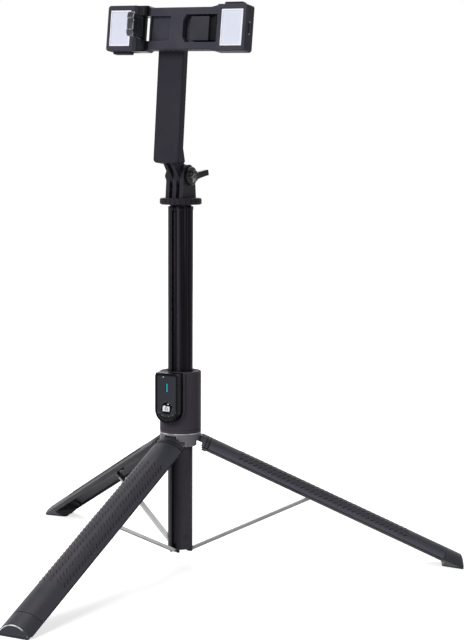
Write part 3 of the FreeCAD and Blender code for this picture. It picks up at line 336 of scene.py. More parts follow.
def moulded_grain():
    """Fine skin of moulded plastic, with broad soft patches from handling; on the collar seam the
    bright patches are painted glints.
    """
    group, before, after = new_group(
        "moulded grain",
        [("Grain Scale", "Float", 2200.0), ("Patch Scale", "Float", 35.0)],
        [("Grain", "Float"), ("Patch", "Float")],
    )
    spot = add_node(group, "TexCoord")
    grain = add_node(
        group, "TexNoise", Vector=(spot, "Object"), Scale=(before, "Grain Scale"),
        Detail=3.0, Roughness=0.6,
    )
    patch = add_node(
        group, "TexNoise", Vector=(spot, "Object"), Scale=(before, "Patch Scale"),
        Detail=4.0, Roughness=0.55, Distortion=0.4,
    )
    soft = ramp(group, (patch, "Fac"), 0.35, 0.65)
    group.links.new(grain.outputs["Fac"], after.inputs["Grain"])
    group.links.new(soft.outputs["Result"], after.inputs["Patch"])
    return group


def edge_rub_and_glint():
    """A mask of the edges, broken up by noise: real rubbing by hands, and where the finishes paint
    glints on their edges.
    """
    group, before, after = new_group(
        "edge rub",
        [("Radius", "Float", 0.0006), ("Break", "Float", 900.0), ("Full At", "Float", 0.8)],
        [("Edge", "Float")],
    )
    rounded = add_node(group, "Bevel", samples=6, Radius=(before, "Radius"))
    flat = add_node(group, "NewGeometry")
    # The two normals part at an edge, and the rub and painted glint are full where they part most
    bend = ramp(
        group, (vector_node(group, "DOT_PRODUCT", (rounded, "Normal"), (flat, "Normal")), "Value"),
        0.985, 0.8)
    group.links.new(before.outputs["Full At"], bend.inputs["From Max"])
    spot = add_node(group, "TexCoord")
    breaks = add_node(
        group, "TexNoise", Vector=(spot, "Object"), Scale=(before, "Break"), Detail=2.0)
    shown = ramp(group, (breaks, "Fac"), 0.38, 0.62)
    edge = math_node(group, "MULTIPLY", (bend, "Result"), (shown, "Result"))
    group.links.new(edge.outputs[0], after.inputs["Edge"])
    return group


def drawn_lines():
    """Fine lines that a drawing die leaves along the piece, turned to its direction."""
    group, before, after = new_group(
        "drawn lines",
        [("Turn", "Vector", None), ("Across", "Float", 5000.0), ("Along", "Float", 60.0)],
        [("Lines", "Float")],
    )
    spot = add_node(group, "TexCoord")
    turned = add_node(
        group, "VectorRotate", rotation_type="EULER_XYZ", Vector=(spot, "Object"),
        Rotation=(before, "Turn"))
    scale = add_node(
        group, "CombineXYZ", X=(before, "Across"), Y=(before, "Across"), Z=(before, "Along"))
    stretched = vector_node(group, "MULTIPLY", (turned, "Vector"), (scale, "Vector"))
    lines = add_node(group, "TexNoise", Vector=(stretched, "Vector"), Scale=1.0, Detail=2.0)
    group.links.new(lines.outputs["Fac"], after.inputs["Lines"])
    return group


GRAIN = moulded_grain()
RUB_AND_GLINT = edge_rub_and_glint()
LINES = drawn_lines()

# The Mix node's sockets for colours
FIRST, SECOND, MIXED = 6, 7, 2


def use_group(tree, group, **values):
    node = tree.nodes.new("ShaderNodeGroup")
    node.node_tree = group
    for key, value in values.items():
        plug(tree, value, node.inputs[key.replace("_", " ")])
    return node


def mix_colour(tree, share, first, second):
    node = tree.nodes.new("ShaderNodeMix")
    node.data_type = "RGBA"
    plug(tree, share, node.inputs["Factor"])
    plug(tree, first, node.inputs[FIRST])
    plug(tree, second, node.inputs[SECOND])
    return node


def new_material(name):
    """A new material, its nodes and its main shader."""
    material = bpy.data.materials.new(name)
    material.use_nodes = True
    return material, material.node_tree, material.node_tree.nodes["Principled BSDF"]


def plastic(name, colour, patchy, rubbed_and_glint, roughness, spread=0.08, grain=0.02, level=0.05,
            coat=0.0, rub_and_glint_share=0.35, rub_and_glint_radius=0.6, rub_and_glint_full=0.8, patches=35.0):
    """Moulded plastic: colour drifts to patchy, edges go to a paler colour, partly real wear and
    partly a painted glint, and the skin is grained.
    """
    material, tree, shader = new_material(name)
    skin = use_group(tree, GRAIN, Patch_Scale=patches)
    rub_glint = use_group(tree, RUB_AND_GLINT, Radius=rub_and_glint_radius * MM, Full_At=rub_and_glint_full)
    drift = mix_colour(tree, (skin, "Patch"), colour + (1,), patchy + (1,))
    share = math_node(tree, "MULTIPLY", (rub_glint, "Edge"), rub_and_glint_share)
    worn_and_glinting = mix_colour(tree, (share, 0), (drift, MIXED), rubbed_and_glint + (1,))
    tree.links.new(worn_and_glinting.outputs[MIXED], shader.inputs["Base Color"])
    shine = ramp(tree, (skin, "Patch"), 0.0, 1.0, roughness - spread / 2, roughness + spread / 2)
    tree.links.new(shine.outputs["Result"], shader.inputs["Roughness"])
    bump = add_node(tree, "Bump", Distance=grain * MM, Strength=1.0, Height=(skin, "Grain"))
    tree.links.new(bump.outputs["Normal"], shader.inputs["Normal"])
    shader.inputs["Specular IOR Level"].default_value = level
    shader.inputs["Coat Weight"].default_value = coat
    shader.inputs["Coat Roughness"].default_value = 0.12
    return material


def metal(name, colour, dull, roughness, turned=(0, 0, 0)):
    """Drawn or brushed metal with fine lines along its length."""
    material, tree, shader = new_material(name)
    shader.inputs["Metallic"].default_value = 1.0
    skin = use_group(tree, GRAIN, Patch_Scale=60.0)
    lines = use_group(tree, LINES, Turn=turned)
    tone = math_node(tree, "MULTIPLY", (skin, "Patch"), (lines, "Lines"))
    drift = mix_colour(tree, (tone, 0), colour + (1,), dull + (1,))
    tree.links.new(drift.outputs[MIXED], shader.inputs["Base Color"])
    shine = ramp(tree, (lines, "Lines"), 0.3, 0.7, roughness - 0.06, roughness + 0.08)
    tree.links.new(shine.outputs["Result"], shader.inputs["Roughness"])
    bump = add_node(tree, "Bump", Distance=0.012 * MM, Strength=1.0, Height=(lines, "Lines"))
    tree.links.new(bump.outputs["Normal"], shader.inputs["Normal"])
    return material


def tint(material, share, colour):
    """Mix a colour over a finish as far as the share says."""
    tree = material.node_tree
    shader = tree.nodes["Principled BSDF"]
    before = shader.inputs["Base Color"].links[0].from_socket
    changed = mix_colour(tree, share, (0, 0, 0, 1), colour + (1,))
    tree.links.new(before, changed.inputs[FIRST])
    tree.links.new(changed.outputs[MIXED], shader.inputs["Base Color"])
    return material


def along(tree, direction, start=0.0):
    """How far a point of the piece lies along a direction, in metres."""
    across = add_node(tree, "VectorMath", operation="DOT_PRODUCT")
    tree.links.new(add_node(tree, "TexCoord").outputs["Object"], across.inputs[0])
    across.inputs[1].default_value = direction
    return math_node(tree, "ADD", (across, "Value"), start)


def outwards(tree, azimuth):
    """How far a point lies out from the column's axis towards an azimuth."""
    angle = math.radians(azimuth)
    return along(tree, (math.cos(angle), math.sin(angle), 0)), 0


def over(tree, value, start, full):
    """A share that grows from 0 at start to 1 at full, both in millimetres."""
    return ramp(tree, value, start * MM, full * MM)


AXES = {"X": (1, 0, 0), "Y": (0, 1, 0), "Z": (0, 0, 1)}


def shaded_along(material, axis, other, start, full):
    """Turn a finish to another colour over a stretch along X, Y or Z, in millimetres."""
    tree = material.node_tree
    share = over(tree, (along(tree, AXES[axis]), 0), start, full)
    return tint(material, (share, "Result"), other)


# A leg's painted sheen of floor light on its flanks starts this far out from the folded leg's
# axis, and its dark edge further in
LEG_SHEEN_SPAN = (13.8, 10.4)
LEG_EDGE = (9.0, 8.6)
RIGHT_LEG_SHEEN = (0.085, 0.082, 0.102)
LEG_SHEEN = (0.052, 0.050, 0.062)
EDGE_BLACK = (0.010, 0.009, 0.013)
# How far inside the toe's end its painted glint, a bright line, starts and stops
TOE_GLINT = ((0.7, 0.5), (0.12, 0.25))
# The column: heights where it turns grey and where its lands carry a painted sheen, and the
# sheen's radii
TUBE_GREYING = (112, 66)
LAND_AZIMUTHS = (-150, -30, 90)
LAND_SHEEN_HEIGHTS = (98, 92)
LAND_SHEEN_RADII = (7.2, 9.3)
# Where the ribs' painted shade fades, and where swivel ring, window and slider change their
# colour, along one axis
RIBS_PALER = (82, 50)
RING_DARKER = (285.5, 284.8)
WINDOW_SHADOW = (-0.05, -0.3)
SLIDER_END = (-11.5, -12.5)


def leg_finish(leg):
    """Leg plastic, with a painted sheen of floor light on its flanks, strongest on the right leg,
    and a dark lower edge.
    """
    material = plastic(
        leg + " leg plastic", (0.043, 0.038, 0.046), (0.033, 0.036, 0.045), (0.16, 0.16, 0.18),
        0.38, level=0.1)
    # The flanks' paler colour is a painted reflection of the floor, strongest on the right leg
    sheen = RIGHT_LEG_SHEEN if leg == "right" else LEG_SHEEN
    tree = material.node_tree
    # The first row of the way back to the folded leg gives a point's distance out from its axis
    row = leg_place(leg).inverted()[0]
    height = along(tree, row[:3], row[3])
    for span, colour in ((LEG_SHEEN_SPAN, sheen), (LEG_EDGE, EDGE_BLACK)):
        tint(material, (over(tree, (height, 0), *span), "Result"), colour)
    return material


def foot_finish(leg):
    """Foot plastic with a painted glint, a bright line on the rounding of its toe."""
    material = plastic(
        leg + " foot plastic", (0.034, 0.036, 0.044), (0.044, 0.041, 0.050), (0.12, 0.12, 0.14),
        0.36, level=0.12)
    tree = material.node_tree
    reach = outwards(tree, LEG_AZIMUTH[leg])
    inner, outer = [
        over(tree, reach, TOE_REACH - start, TOE_REACH - full) for start, full in TOE_GLINT]
    line = math_node(tree, "MULTIPLY", (inner, "Result"), (outer, "Result"))
    broken = use_group(tree, GRAIN, Patch_Scale=110.0)
    share = math_node(tree, "MULTIPLY", (line, 0), (broken, "Patch"))
    # The near-white tint is a painted glint
    return tint(material, (share, 0), (0.85, 0.85, 0.88))


def rib_finish():
    """Ribs, painted black near the hinge as the shade of the leg's slanted pattern, and close to
    the leg's tone further down.
    """
    material = plastic(
        "leg rib plastic", (0.009, 0.008, 0.011), (0.014, 0.013, 0.017), (0.08, 0.08, 0.09), 0.5)
    return shaded_along(material, "Z", (0.024, 0.023, 0.029), *RIBS_PALER)


def tube_finish():
    """Black tube, a satin grey towards the bottom, with fine streaks along it and painted glints
    on its sharp edges.
    """
    material = plastic(
        "black tube finish", (0.0045, 0.0034, 0.006), (0.007, 0.0055, 0.009),
        (0.05, 0.046, 0.053), 0.3, grain=0.008, rub_and_glint_share=1.0, rub_and_glint_radius=1.3)
    shaded_along(material, "Z", (0.038, 0.034, 0.043), *TUBE_GREYING)
    tree = material.node_tree
    lines = use_group(tree, LINES, Across=620.0, Along=2.5)
    streaks = ramp(tree, (lines, "Lines"), 0.54, 0.70)
    share = math_node(tree, "MULTIPLY", (streaks, "Result"), 0.75)
    tint(material, (share, 0), (0.062, 0.057, 0.068))
    # Each land between two channels gets a painted sheen, a reflection along its middle, below the
    # collar
    nearest = None
    for azimuth in LAND_AZIMUTHS:
        out = outwards(tree, azimuth)
        nearest = (math_node(tree, "MAXIMUM", nearest, out), 0) if nearest else out
    land_sheen = over(tree, nearest, *LAND_SHEEN_RADII)
    low = over(tree, (along(tree, AXES["Z"]), 0), *LAND_SHEEN_HEIGHTS)
    share = math_node(tree, "MULTIPLY", (land_sheen, "Result"), (low, "Result"))
    return tint(material, (share, 0), (0.070, 0.066, 0.078))


def head_finish():
    """Swivel head: grey fingers on a darker ring."""
    material = plastic(
        "swivel head plastic", (0.030, 0.028, 0.036), (0.037, 0.034, 0.043), (0.14, 0.14, 0.15),
        0.48, rub_and_glint_share=0.7)
    return shaded_along(material, "Z", (0.024, 0.021, 0.028), *RING_DARKER)


def signal_finish():
    """Teal window, with its left edge in a navy shadow."""
    material = plastic(
        "teal window", (0.035, 0.32, 0.42), (0.05, 0.38, 0.48), (0.2, 0.6, 0.7), 0.25,
        grain=0.005)
    return shaded_along(material, "X", (0.004, 0.012, 0.045), *WINDOW_SHADOW)


def slider_finish():
    """Clamp slider: glossier and darker at its outer end."""
    material = plastic(
        "clamp slider plastic", (0.042, 0.045, 0.062), (0.052, 0.047, 0.060), (0.30, 0.31, 0.35),
        0.3, level=0.08, rub_and_glint_share=0.9)
    return shaded_along(material, "X", (0.014, 0.014, 0.019), *SLIDER_END)


# The right strut's darker steel is a painted shade; the same steel is lighter on the other two
STRUT_TONE_AND_SHADE = {"front": 0.43, "right": 0.2, "left": 0.43}


def strut_finish(leg):
    """Drawn steel, with its lines turned to lie along the open strut."""
    flat = Matrix.Rotation(math.radians(-LEG_AZIMUTH[leg]), 3, "Z")
    tilt = Matrix.Rotation(math.radians(-STRUT_SLOPE), 3, "Y")
    tone = STRUT_TONE_AND_SHADE[leg]
    return metal(
        leg + " strut steel", (tone, tone, tone), (tone * 0.7, tone * 0.7, tone * 0.72), 0.42,
        tuple((tilt @ flat).to_euler()))


# Each plastic has its colour, the one it drifts to, the one of its edges, which is rubbing and,
# where bright, a painted glint, and its roughness
FINISHES = {
    "satin black": plastic(
        "satin black plastic", (0.024, 0.022, 0.029), (0.030, 0.027, 0.034), (0.09, 0.09, 0.10),
        0.5),
    "arm": plastic(
        "tilting arm plastic", (0.027, 0.026, 0.035), (0.033, 0.030, 0.039), (0.14, 0.14, 0.16),
        0.5, rub_and_glint_share=0.6),
    "clamp": plastic(
        "phone clamp plastic", (0.043, 0.046, 0.064), (0.060, 0.055, 0.068), (0.16, 0.17, 0.20),
        0.46, level=0.03, rub_and_glint_share=0.6),
    "sleeve": plastic(
        "handle sleeve plastic", (0.050, 0.044, 0.058), (0.056, 0.050, 0.064),
        (0.12, 0.12, 0.13), 0.56),
    # The collar's near-white edge colour is a painted glint along its edges
    "collar": plastic(
        "grey collar plastic", (0.160, 0.149, 0.176), (0.178, 0.167, 0.194), (0.85, 0.85, 0.87),
        0.4, rub_and_glint_share=1.0, rub_and_glint_radius=0.8),
    **{"leg " + leg: leg_finish(leg) for leg in LEG_AZIMUTH},
    "leg rib": rib_finish(),
    **{"foot " + leg: foot_finish(leg) for leg in LEG_AZIMUTH},
    # The pale edge colours of the glossy black, bezel and lower rim finishes are painted glints
    "gloss black": plastic(
        "glossy black plastic", (0.008, 0.008, 0.011), (0.011, 0.011, 0.015), (0.40, 0.40, 0.43),
        0.22, spread=0.05, grain=0.004, level=0.07, rub_and_glint_share=0.9, rub_and_glint_radius=0.7),
    "bezel": plastic(
        "remote bezel plastic", (0.004, 0.004, 0.006), (0.006, 0.006, 0.008), (0.30, 0.31, 0.34),
        0.24, spread=0.05, grain=0.004, level=0.04, rub_and_glint_share=0.8, rub_and_glint_radius=0.35),
    "crescent": plastic(
        "glossy lower rim", (0.006, 0.006, 0.008), (0.012, 0.012, 0.016), (0.80, 0.80, 0.84),
        0.2, spread=0.05, grain=0.004, level=0.08, rub_and_glint_share=0.9, rub_and_glint_radius=0.5),
    # The seam's near-white patches are painted glints
    "seam": plastic(
        "bright collar seam", (0.150, 0.140, 0.165), (0.90, 0.90, 0.92), (0.9, 0.9, 0.92),
        0.3, grain=0.004, rub_and_glint_share=0.3, patches=170.0),
    # The wing knob's pale edge colour is a painted glint
    "wing": plastic(
        "wing knob plastic", (0.007, 0.007, 0.010), (0.020, 0.020, 0.025), (0.55, 0.55, 0.60),
        0.22, spread=0.06, grain=0.004, level=0.12, rub_and_glint_share=0.9, rub_and_glint_full=0.86,
        patches=140.0),
    "remote": plastic(
        "remote control plastic", (0.027, 0.029, 0.036), (0.032, 0.034, 0.042),
        (0.08, 0.08, 0.09), 0.36, grain=0.006, level=0.08),
    # The jaw's pale edge colour is a painted glint on its tip's lobes
    "jaw": plastic(
        "jaw plastic", (0.020, 0.022, 0.028), (0.030, 0.030, 0.038), (0.75, 0.76, 0.80),
        0.2, grain=0.006, level=0.3, coat=0.2, rub_and_glint_share=0.9, rub_and_glint_radius=1.0, rub_and_glint_full=0.93),
    "right jaw": plastic(
        "flat jaw plastic", (0.034, 0.034, 0.044), (0.048, 0.045, 0.056), (0.10, 0.10, 0.12),
        0.42),
    # Near-black; on the jaw hinges and jaw pins it is a painted shade for the gap at the flap's
    # hinge end
    "dark hinge": plastic(
        "dark hinge plastic", (0.008, 0.008, 0.010), (0.011, 0.011, 0.014), (0.03, 0.03, 0.035),
        0.5),
    "slider": slider_finish(),
    "tube": tube_finish(),
    "head": head_finish(),
    "rubber": plastic(
        "black rubber", (0.040, 0.043, 0.058), (0.047, 0.048, 0.062), (0.07, 0.07, 0.08),
        0.75, grain=0.04),
    "diffuser": plastic(
        "milky diffuser", (0.68, 0.70, 0.81), (0.70, 0.73, 0.83), (0.84, 0.86, 0.94),
        0.35, grain=0.01),
    "diffuser edge": plastic(
        "bright diffuser edge", (0.95, 0.95, 1.0), (0.92, 0.92, 0.98), (1.0, 1.0, 1.0),
        0.3, grain=0.005),
    "signal": signal_finish(),
    "print": plastic(
        "white print", (0.85, 0.85, 0.86), (0.78, 0.78, 0.80), (0.9, 0.9, 0.9),
        0.4, grain=0.005),
    "print grey": plastic(
        "grey print", (0.20, 0.20, 0.21), (0.24, 0.24, 0.25), (0.3, 0.3, 0.3),
        0.4, grain=0.005),
    "pin": metal("turned steel", (0.42, 0.42, 0.43), (0.30, 0.30, 0.31), 0.34),
    "base screw": plastic(
        "grey lacquered screw", (0.058, 0.054, 0.065), (0.066, 0.062, 0.074),
        (0.10, 0.10, 0.11), 0.4),
    "dark screw": metal("blackened screw steel", (0.045, 0.043, 0.05), (0.03, 0.03, 0.035), 0.38),
    "stage": metal("bright tube steel", (0.28, 0.28, 0.30), (0.16, 0.16, 0.17), 0.24),
    **{"strut " + leg: strut_finish(leg) for leg in LEG_AZIMUTH},
}

FINISH_OF = {
    "leg_hinge_pins": "pin", "strut_base_pins": "pin", "slider_rods": "pin", "tilt_bolt": "pin",
    "turn_screw": "dark screw", "left_jaw_pin": "dark hinge", "right_jaw_pin": "dark hinge",
    "column_tube": "tube", "column_base": "tube", "column_cap": "tube", "head_neck": "tube",
    "head_ring": "head", "leg_collar": "collar", "control_sleeve": "sleeve",
    "sleeve_bush": "sleeve", "signal_window": "signal", "remote_case": "bezel",
    "remote_face": "remote", "shutter_button": "bezel", "wing_knob": "wing", "tilt_arm": "arm",
    "clamp_frame": "clamp", "clamp_slider": "slider", "clamp_back_cover": "clamp",
    "left_lamp_housing": "clamp", "right_lamp_housing": "clamp", "left_jaw": "jaw",
    "right_jaw": "jaw", "left_jaw_pad": "rubber", "right_jaw_pad": "rubber",
    "left_lamp_diffuser": "diffuser", "right_lamp_diffuser": "diffuser",
}
FINISH_BY_START = {"strut_pin": "pin", "stage_tube": "stage", "leg_sole": "rubber"}


def finish_of(name):
    """The finish of a solid: by its name, by how it starts, or by its leg."""
    if name in FINISH_OF:
        return FINISH_OF[name]
    for start, finish in FINISH_BY_START.items():
        if name.startswith(start):
            return finish
    words = name.split("_")
    if words[0] == "strut":
        return "strut " + words[1]
    if words[0] == "leg":
        return ("foot " if words[1] == "foot" else "leg ") + words[2]
    return "satin black"


for name, item in nodes.items():
    item.data.materials.clear()
    item.data.materials.append(FINISHES[finish_of(name)])


# Legs: rows of slanted ribs on the outer face
RIB_HALF = (0.35, 0.45, 2.2)
RIB_SINK = 0.12
RIB_PITCH = 4
RIB_COUNT = 36
FIRST_RIB = -38
RIB_SLANT = 35
RIB_ROWS = (-40, -20, 0, 20, 40)


def make_leg_ribs():
    rib = block("leg_ribs", [-half for half in RIB_HALF], RIB_HALF)
    pick(rib, "FACE", lambda c, n: n.x > 0.9)
    shrink(1, 0.5, 0.8)
    close(rib)
    rib.matrix_world = move(LEG_RADIUS - RIB_SINK, 0, FIRST_RIB) @ turn(RIB_SLANT, "X")
    settle(rib)
    repeat(rib, RIB_COUNT, (0, 0, -RIB_PITCH))
    rows = [copy_of(rib, "rib_row", turn(angle, "Z")) for angle in RIB_ROWS if angle]
    on_each_leg(join(rib, *rows), "leg_ribs", "leg rib")


# Dark bands where each leg's shell meets its root
BAND_HEIGHTS = (-8.6, -11.2)
BAND_WIDTH = 0.8
BAND_WALL = 0.6
BAND_PROUD = 0.08
SHELL_EDGE = 8.5


def make_leg_bands():
    """Rings, cut off where the shell's flanks end."""
    far = LEG_RADIUS + 1
    bands = []
    for height in BAND_HEIGHTS:
        band = rod("leg_band", LEG_RADIUS + BAND_PROUD, BAND_WIDTH, (0, 0, height), "Z", 96)
        hollow_out(band, BAND_WALL, "Z")
        inner = block("band_cut", (-far, -far, height - 1), (SHELL_EDGE, far, height + 1))
        bands.append(smooth(carve(band, inner)))
    on_each_leg(join(*bands), "leg_bands", "dark hinge")


# Rivet heads on both sides of each strut's upper end
RIVET_RADIUS = 0.95
RIVET_DEPTH = 0.3


def make_rivets():
    for leg in LEG_AZIMUTH:
        upper = leg_place(leg) @ move(STRUT_HINGE_RADIUS, 0, -BRACKET_DISTANCE)
        heads = []
        for side in (-1, 1):
            # The column's channel is 0.3 mm away when the leg is folded, so they are flat
            middle = (0, side * STRUT_WIDTH / 2, 0)
            head = rod("rivet", RIVET_RADIUS, RIVET_DEPTH, middle, "Y", 20)
            pick(head, "FACE", lambda c, n: n.y * side > 0.9)
            inset(0.3, 0.06)
            close(head)
            heads.append(smooth(soften(head, 0.05)))
        rivets = join(*heads)
        rivets.name = "strut_rivets_" + leg
        place(rivets, upper, "strut_" + leg, "pin")


# Screws with a crossed slot: one in the arm, four in the clamp's cover, three in the base.
# Each head has a radius, a height and the length of its slot
TURN_SCREW = (5.5, 1.8, 5.2)
COVER_SCREW = (1.6, 0.28, 1.9)
BASE_SCREW = (2.1, 0.4, 2.6)
SHANK_RADIUS = 3
SHANK_LENGTH = 8.2
COVER_SCREWS = ((-10.4, 12.6), (-10.4, -12.6), (36, 12.6), (36, -12.6))
BASE_SCREW_AZIMUTHS = (60, 180, 300)
BASE_SCREW_REACH = 9.5
BASE_SCREW_HEIGHT = 24.2


def cross_screw(name, radius, height, slot_size):
    """A screw head that faces -Y, with its seat at the origin."""
    head = rod(name, radius, height, (0, -height / 2, 0), "Y", 40)
    soften(head, min(radius * 0.16, height * 0.45), 3)
    half = slot_size / 6
    cutter = block(
        "slot_cutter", (-half, -height - 1, -half), (half, -height * 0.35, half))
    pick(cutter, "FACE", lambda c, n: abs(n.y) < 0.1)
    arm = slot_size / 3 * MM
    bpy.ops.mesh.extrude_faces_move(TRANSFORM_OT_shrink_fatten={"value": -arm})
    close(cutter)
    return smooth(carve(head, cutter))


def make_screws():
    backwards = turn(180, "Z")
    head = cross_screw("turn_screw_head", *TURN_SCREW)
    shank = rod("turn_screw_shank", SHANK_RADIUS, SHANK_LENGTH, (0, SHANK_LENGTH / 2, 0), "Y", 32)
    # Its head stands on the arm's back face, and its shank runs forwards into the clamp
    seat = LEANING @ move(0, -ARM_BACK, TURN_HEIGHT) @ backwards
    place(join(head, shank), seat, "holder", "dark screw", ("turn_screw",))
    for number, (x, z) in enumerate(COVER_SCREWS):
        screw = cross_screw("cover_screw_%d" % number, *COVER_SCREW)
        seat = CLAMPED @ move(x, -CLAMP_BACK, z) @ backwards
        place(screw, seat, "holder", "dark screw")
    for number, azimuth in enumerate(BASE_SCREW_AZIMUTHS):
        screw = cross_screw("base_screw_%d" % number, *BASE_SCREW)
        seat = turn(azimuth, "Z") @ move(0, -BASE_SCREW_REACH, BASE_SCREW_HEIGHT)
        place(screw, seat, "column", "base screw")


# Remote control: printed camera sign, arrow and dot, glossy bezel and the button's ring
REMOTE_HALF = 10.05
REMOTE_BOTTOM = 115.0
REMOTE_TOP = 153.1
BEZEL = 2.0
BEZEL_DEPTH = 1.8
BEZEL_CORNER = 2.6
BEZEL_SINK = 0.5
CRESCENT_CUT = 9.4
CRESCENT_RISE = 4.4
RING_RADIUS = 5.3
RING_WALL = 0.45
SIGN_LOW = (-3.0, -0.14, -2.2)
SIGN_HIGH = (3.0, 0.04, 1.6)
SIGN_HUMP = (-2.2, -0.7)
LENS = (0.15, 0, -0.3)
LENS_RADIUS = 1.3
LENS_MIDDLE = 0.62
ARROW = (1.7, 3.3)
ARROW_RADIUS = 0.78
DOT = (-2.8, 150.2)
DOT_RADIUS = 0.42


def make_prints():
    sign = block("shutter_sign", SIGN_LOW, SIGN_HIGH)
    slice_at(sign, [(x, 0, 0) for x in SIGN_HUMP], (1, 0, 0))
    pick(sign, "FACE", lambda c, n: n.z > 0.9 and SIGN_HUMP[0] < c.x < SIGN_HUMP[1])
    pull(z=0.6)
    shrink(x=0.75)
    close(sign)
    lens_hole = rod("lens_hole", LENS_RADIUS, 1, LENS, "Y", 32)
    carve(soften(sign, 0.3, 2, 60), lens_hole)
    lens = rod("sign_lens", LENS_RADIUS, 0.1, LENS, "Y", 32)
    pick(lens, "FACE", lambda c, n: n.y < -0.9)
    inset(0.3, -0.03)
    close(lens)
    middle = rod("sign_middle", LENS_MIDDLE, 0.16, (LENS[0], -0.02, LENS[2]), "Y", 24)
    soften(middle, 0.05, 2, 60)
    front = move(0, -SHUTTER_FRONT, SHUTTER_HEIGHT)
    place(join(sign, middle), front, "shutter", "print")
    place(lens, front, "shutter", "print grey")
    start_clean()
    bpy.ops.mesh.primitive_cylinder_add(
        vertices=3, radius=ARROW_RADIUS * MM, depth=0.2 * MM, rotation=TURN_TO["Y"])
    arrow = soften(named("shutter_arrow"), 0.06, 2, 60)
    beside = move(ARROW[0], -SHUTTER_FRONT, SHUTTER_HEIGHT + ARROW[1])
    place(arrow, beside, "shutter", "print")
    dot = soften(rod("remote_dot", DOT_RADIUS, 0.2, (0, 0, 0), "Y", 20), 0.06, 2, 60)
    place(dot, move(DOT[0], -REMOTE_FRONT, DOT[1]), "remote", "print")


def make_bezel():
    """A square bar swept round the remote's outline, with a dark crescent in its lower end."""
    rise = REMOTE_TOP - REMOTE_BOTTOM - REMOTE_HALF - BEZEL_CORNER
    corner = REMOTE_HALF - BEZEL_CORNER
    start_clean()
    bpy.ops.mesh.primitive_plane_add(
        size=1, location=metres((REMOTE_HALF - BEZEL / 2, BEZEL_SINK, 0)))
    bpy.context.object.scale = metres((BEZEL, BEZEL_DEPTH, 1))
    bezel = named("remote_bezel")
    pick_all(bezel)
    bpy.ops.mesh.spin(steps=28, angle=-math.pi, center=(0, 0, 0), axis=(0, 1, 0))
    close(bezel)
    pick(bezel, "FACE", lambda c, n: abs(n.z) > 0.9 and c.z > -0.1)
    pull(z=rise)
    close(bezel)
    for side in (-1, 1):
        pick(bezel, "FACE", lambda c, n: abs(n.z) > 0.9 and c.z > rise - 0.1 and c.x * side > 0)
        bpy.ops.mesh.spin(steps=6, angle=side * math.pi / 2, axis=(0, 1, 0),
                          center=metres((side * corner, 0, rise)))
        close(bezel)
    pick(bezel, "FACE",
         lambda c, n: abs(n.x) > 0.98 and c.z > rise and abs(c.x) < corner + 0.01)
    bpy.ops.mesh.bridge_edge_loops()
    close(bezel)
    smooth(soften(right_way_out(bezel), 0.3, 2, 60))
    middle = move(0, -REMOTE_FRONT, REMOTE_BOTTOM + REMOTE_HALF)
    place(bezel, middle, "remote", "bezel")
    crescent = rod("remote_crescent", REMOTE_HALF - BEZEL + 0.1, 0.4, (0, 0, 0), "Y", 64)
    carve(crescent, rod("crescent_cut", CRESCENT_CUT, 2, (0, 0, CRESCENT_RISE), "Y", 64))
    place(smooth(soften(crescent, 0.12)), middle, "remote", "crescent")


def make_button_ring():
    ring = rod("shutter_ring", RING_RADIUS, 0.3, (0, 0, 0), "Y", 48)
    hollow_out(ring, RING_WALL, "Y")
    smooth(soften(ring, 0.1))
    front = move(0, -REMOTE_FRONT, SHUTTER_HEIGHT)
    place(ring, front, "remote", "gloss black")


# Jaws: a curved tip with a rounded lobe at each end, and a ribbed pad
JAW_LENGTH = 21.6
JAW_HALF = 8.8
JAW_THICK = 3
JAW_LIP = 2.6
JAW_CUTS = (-6.6, -4.4, -3.9, 0, 3.9, 4.4, 6.6)
LOBE_START = 3.9
TIP_BOW = ((JAW_HALF, 1.7), (6.6, 0.75), (4.4, 0.3))
LOBE_DEPTH = 0.9
HINGE_STEP = 5.2
WEB_SIDES = (0.7, 1.5)
BARREL_RADIUS = 1.8
PAD_START = 5.6
PAD_LENGTH = 13
PAD_HALF = 7.2
PAD_THICK = 1.9
PAD_RIBS = 7
PAD_RIB_PITCH = 1.77
LEFT_JAW = CLAMPED @ move(-17.6, -35.4, 0)
RIGHT_JAW = CLAMPED @ move(41.6, -31.1, 0) @ turn(-90, "Z") @ turn(180, "Y")


def make_jaw(name):
    half = JAW_THICK / 2
    jaw = block(name + "_flap", (-half, -JAW_LENGTH, -JAW_HALF), (half, -HINGE_STEP, JAW_HALF))
    slice_at(jaw, [(0, -JAW_LENGTH + 2, 0)], (0, 1, 0))
    slice_at(jaw, [(0, 0, z) for z in JAW_CUTS], (0, 0, 1))
    pick(jaw, "FACE", lambda c, n: n.x > 0.9 and c.y < -JAW_LENGTH + 2)
    pull(x=JAW_LIP)
    close(jaw)
    # The tip bows out to its middle
    for height, back in TIP_BOW:
        pick(jaw, "VERT",
             lambda p: p.y < -JAW_LENGTH + 0.1 and abs(abs(p.z) - height) < 0.05)
        shift(y=back)
        close(jaw)
    # Between the lobes the lip is set back a little
    pick(jaw, "FACE", lambda c, n: n.y < -0.7 and abs(c.z) < LOBE_START)
    shift(y=LOBE_DEPTH)
    close(jaw)
    return smooth(soften(jaw, 0.45, 3, 40))


def make_jaw_hinge(name):
    """The thin web and the barrel that carry the flap on its pin."""
    edge = JAW_HALF - 0.3
    near, far = WEB_SIDES
    web = block(name + "_hinge", (near, -HINGE_STEP - 1, -edge), (far, -0.6, edge))
    smooth(soften(web, 0.2))
    barrel = rod(name + "_barrel", BARREL_RADIUS, 2 * JAW_HALF, (0, 0, 0), "Z", 40)
    pick(barrel, "FACE", lambda c, n: abs(n.z) > 0.9)
    inset(0.95, -0.25)
    close(barrel)
    smooth(soften(barrel, 0.15))
    return join(web, barrel)


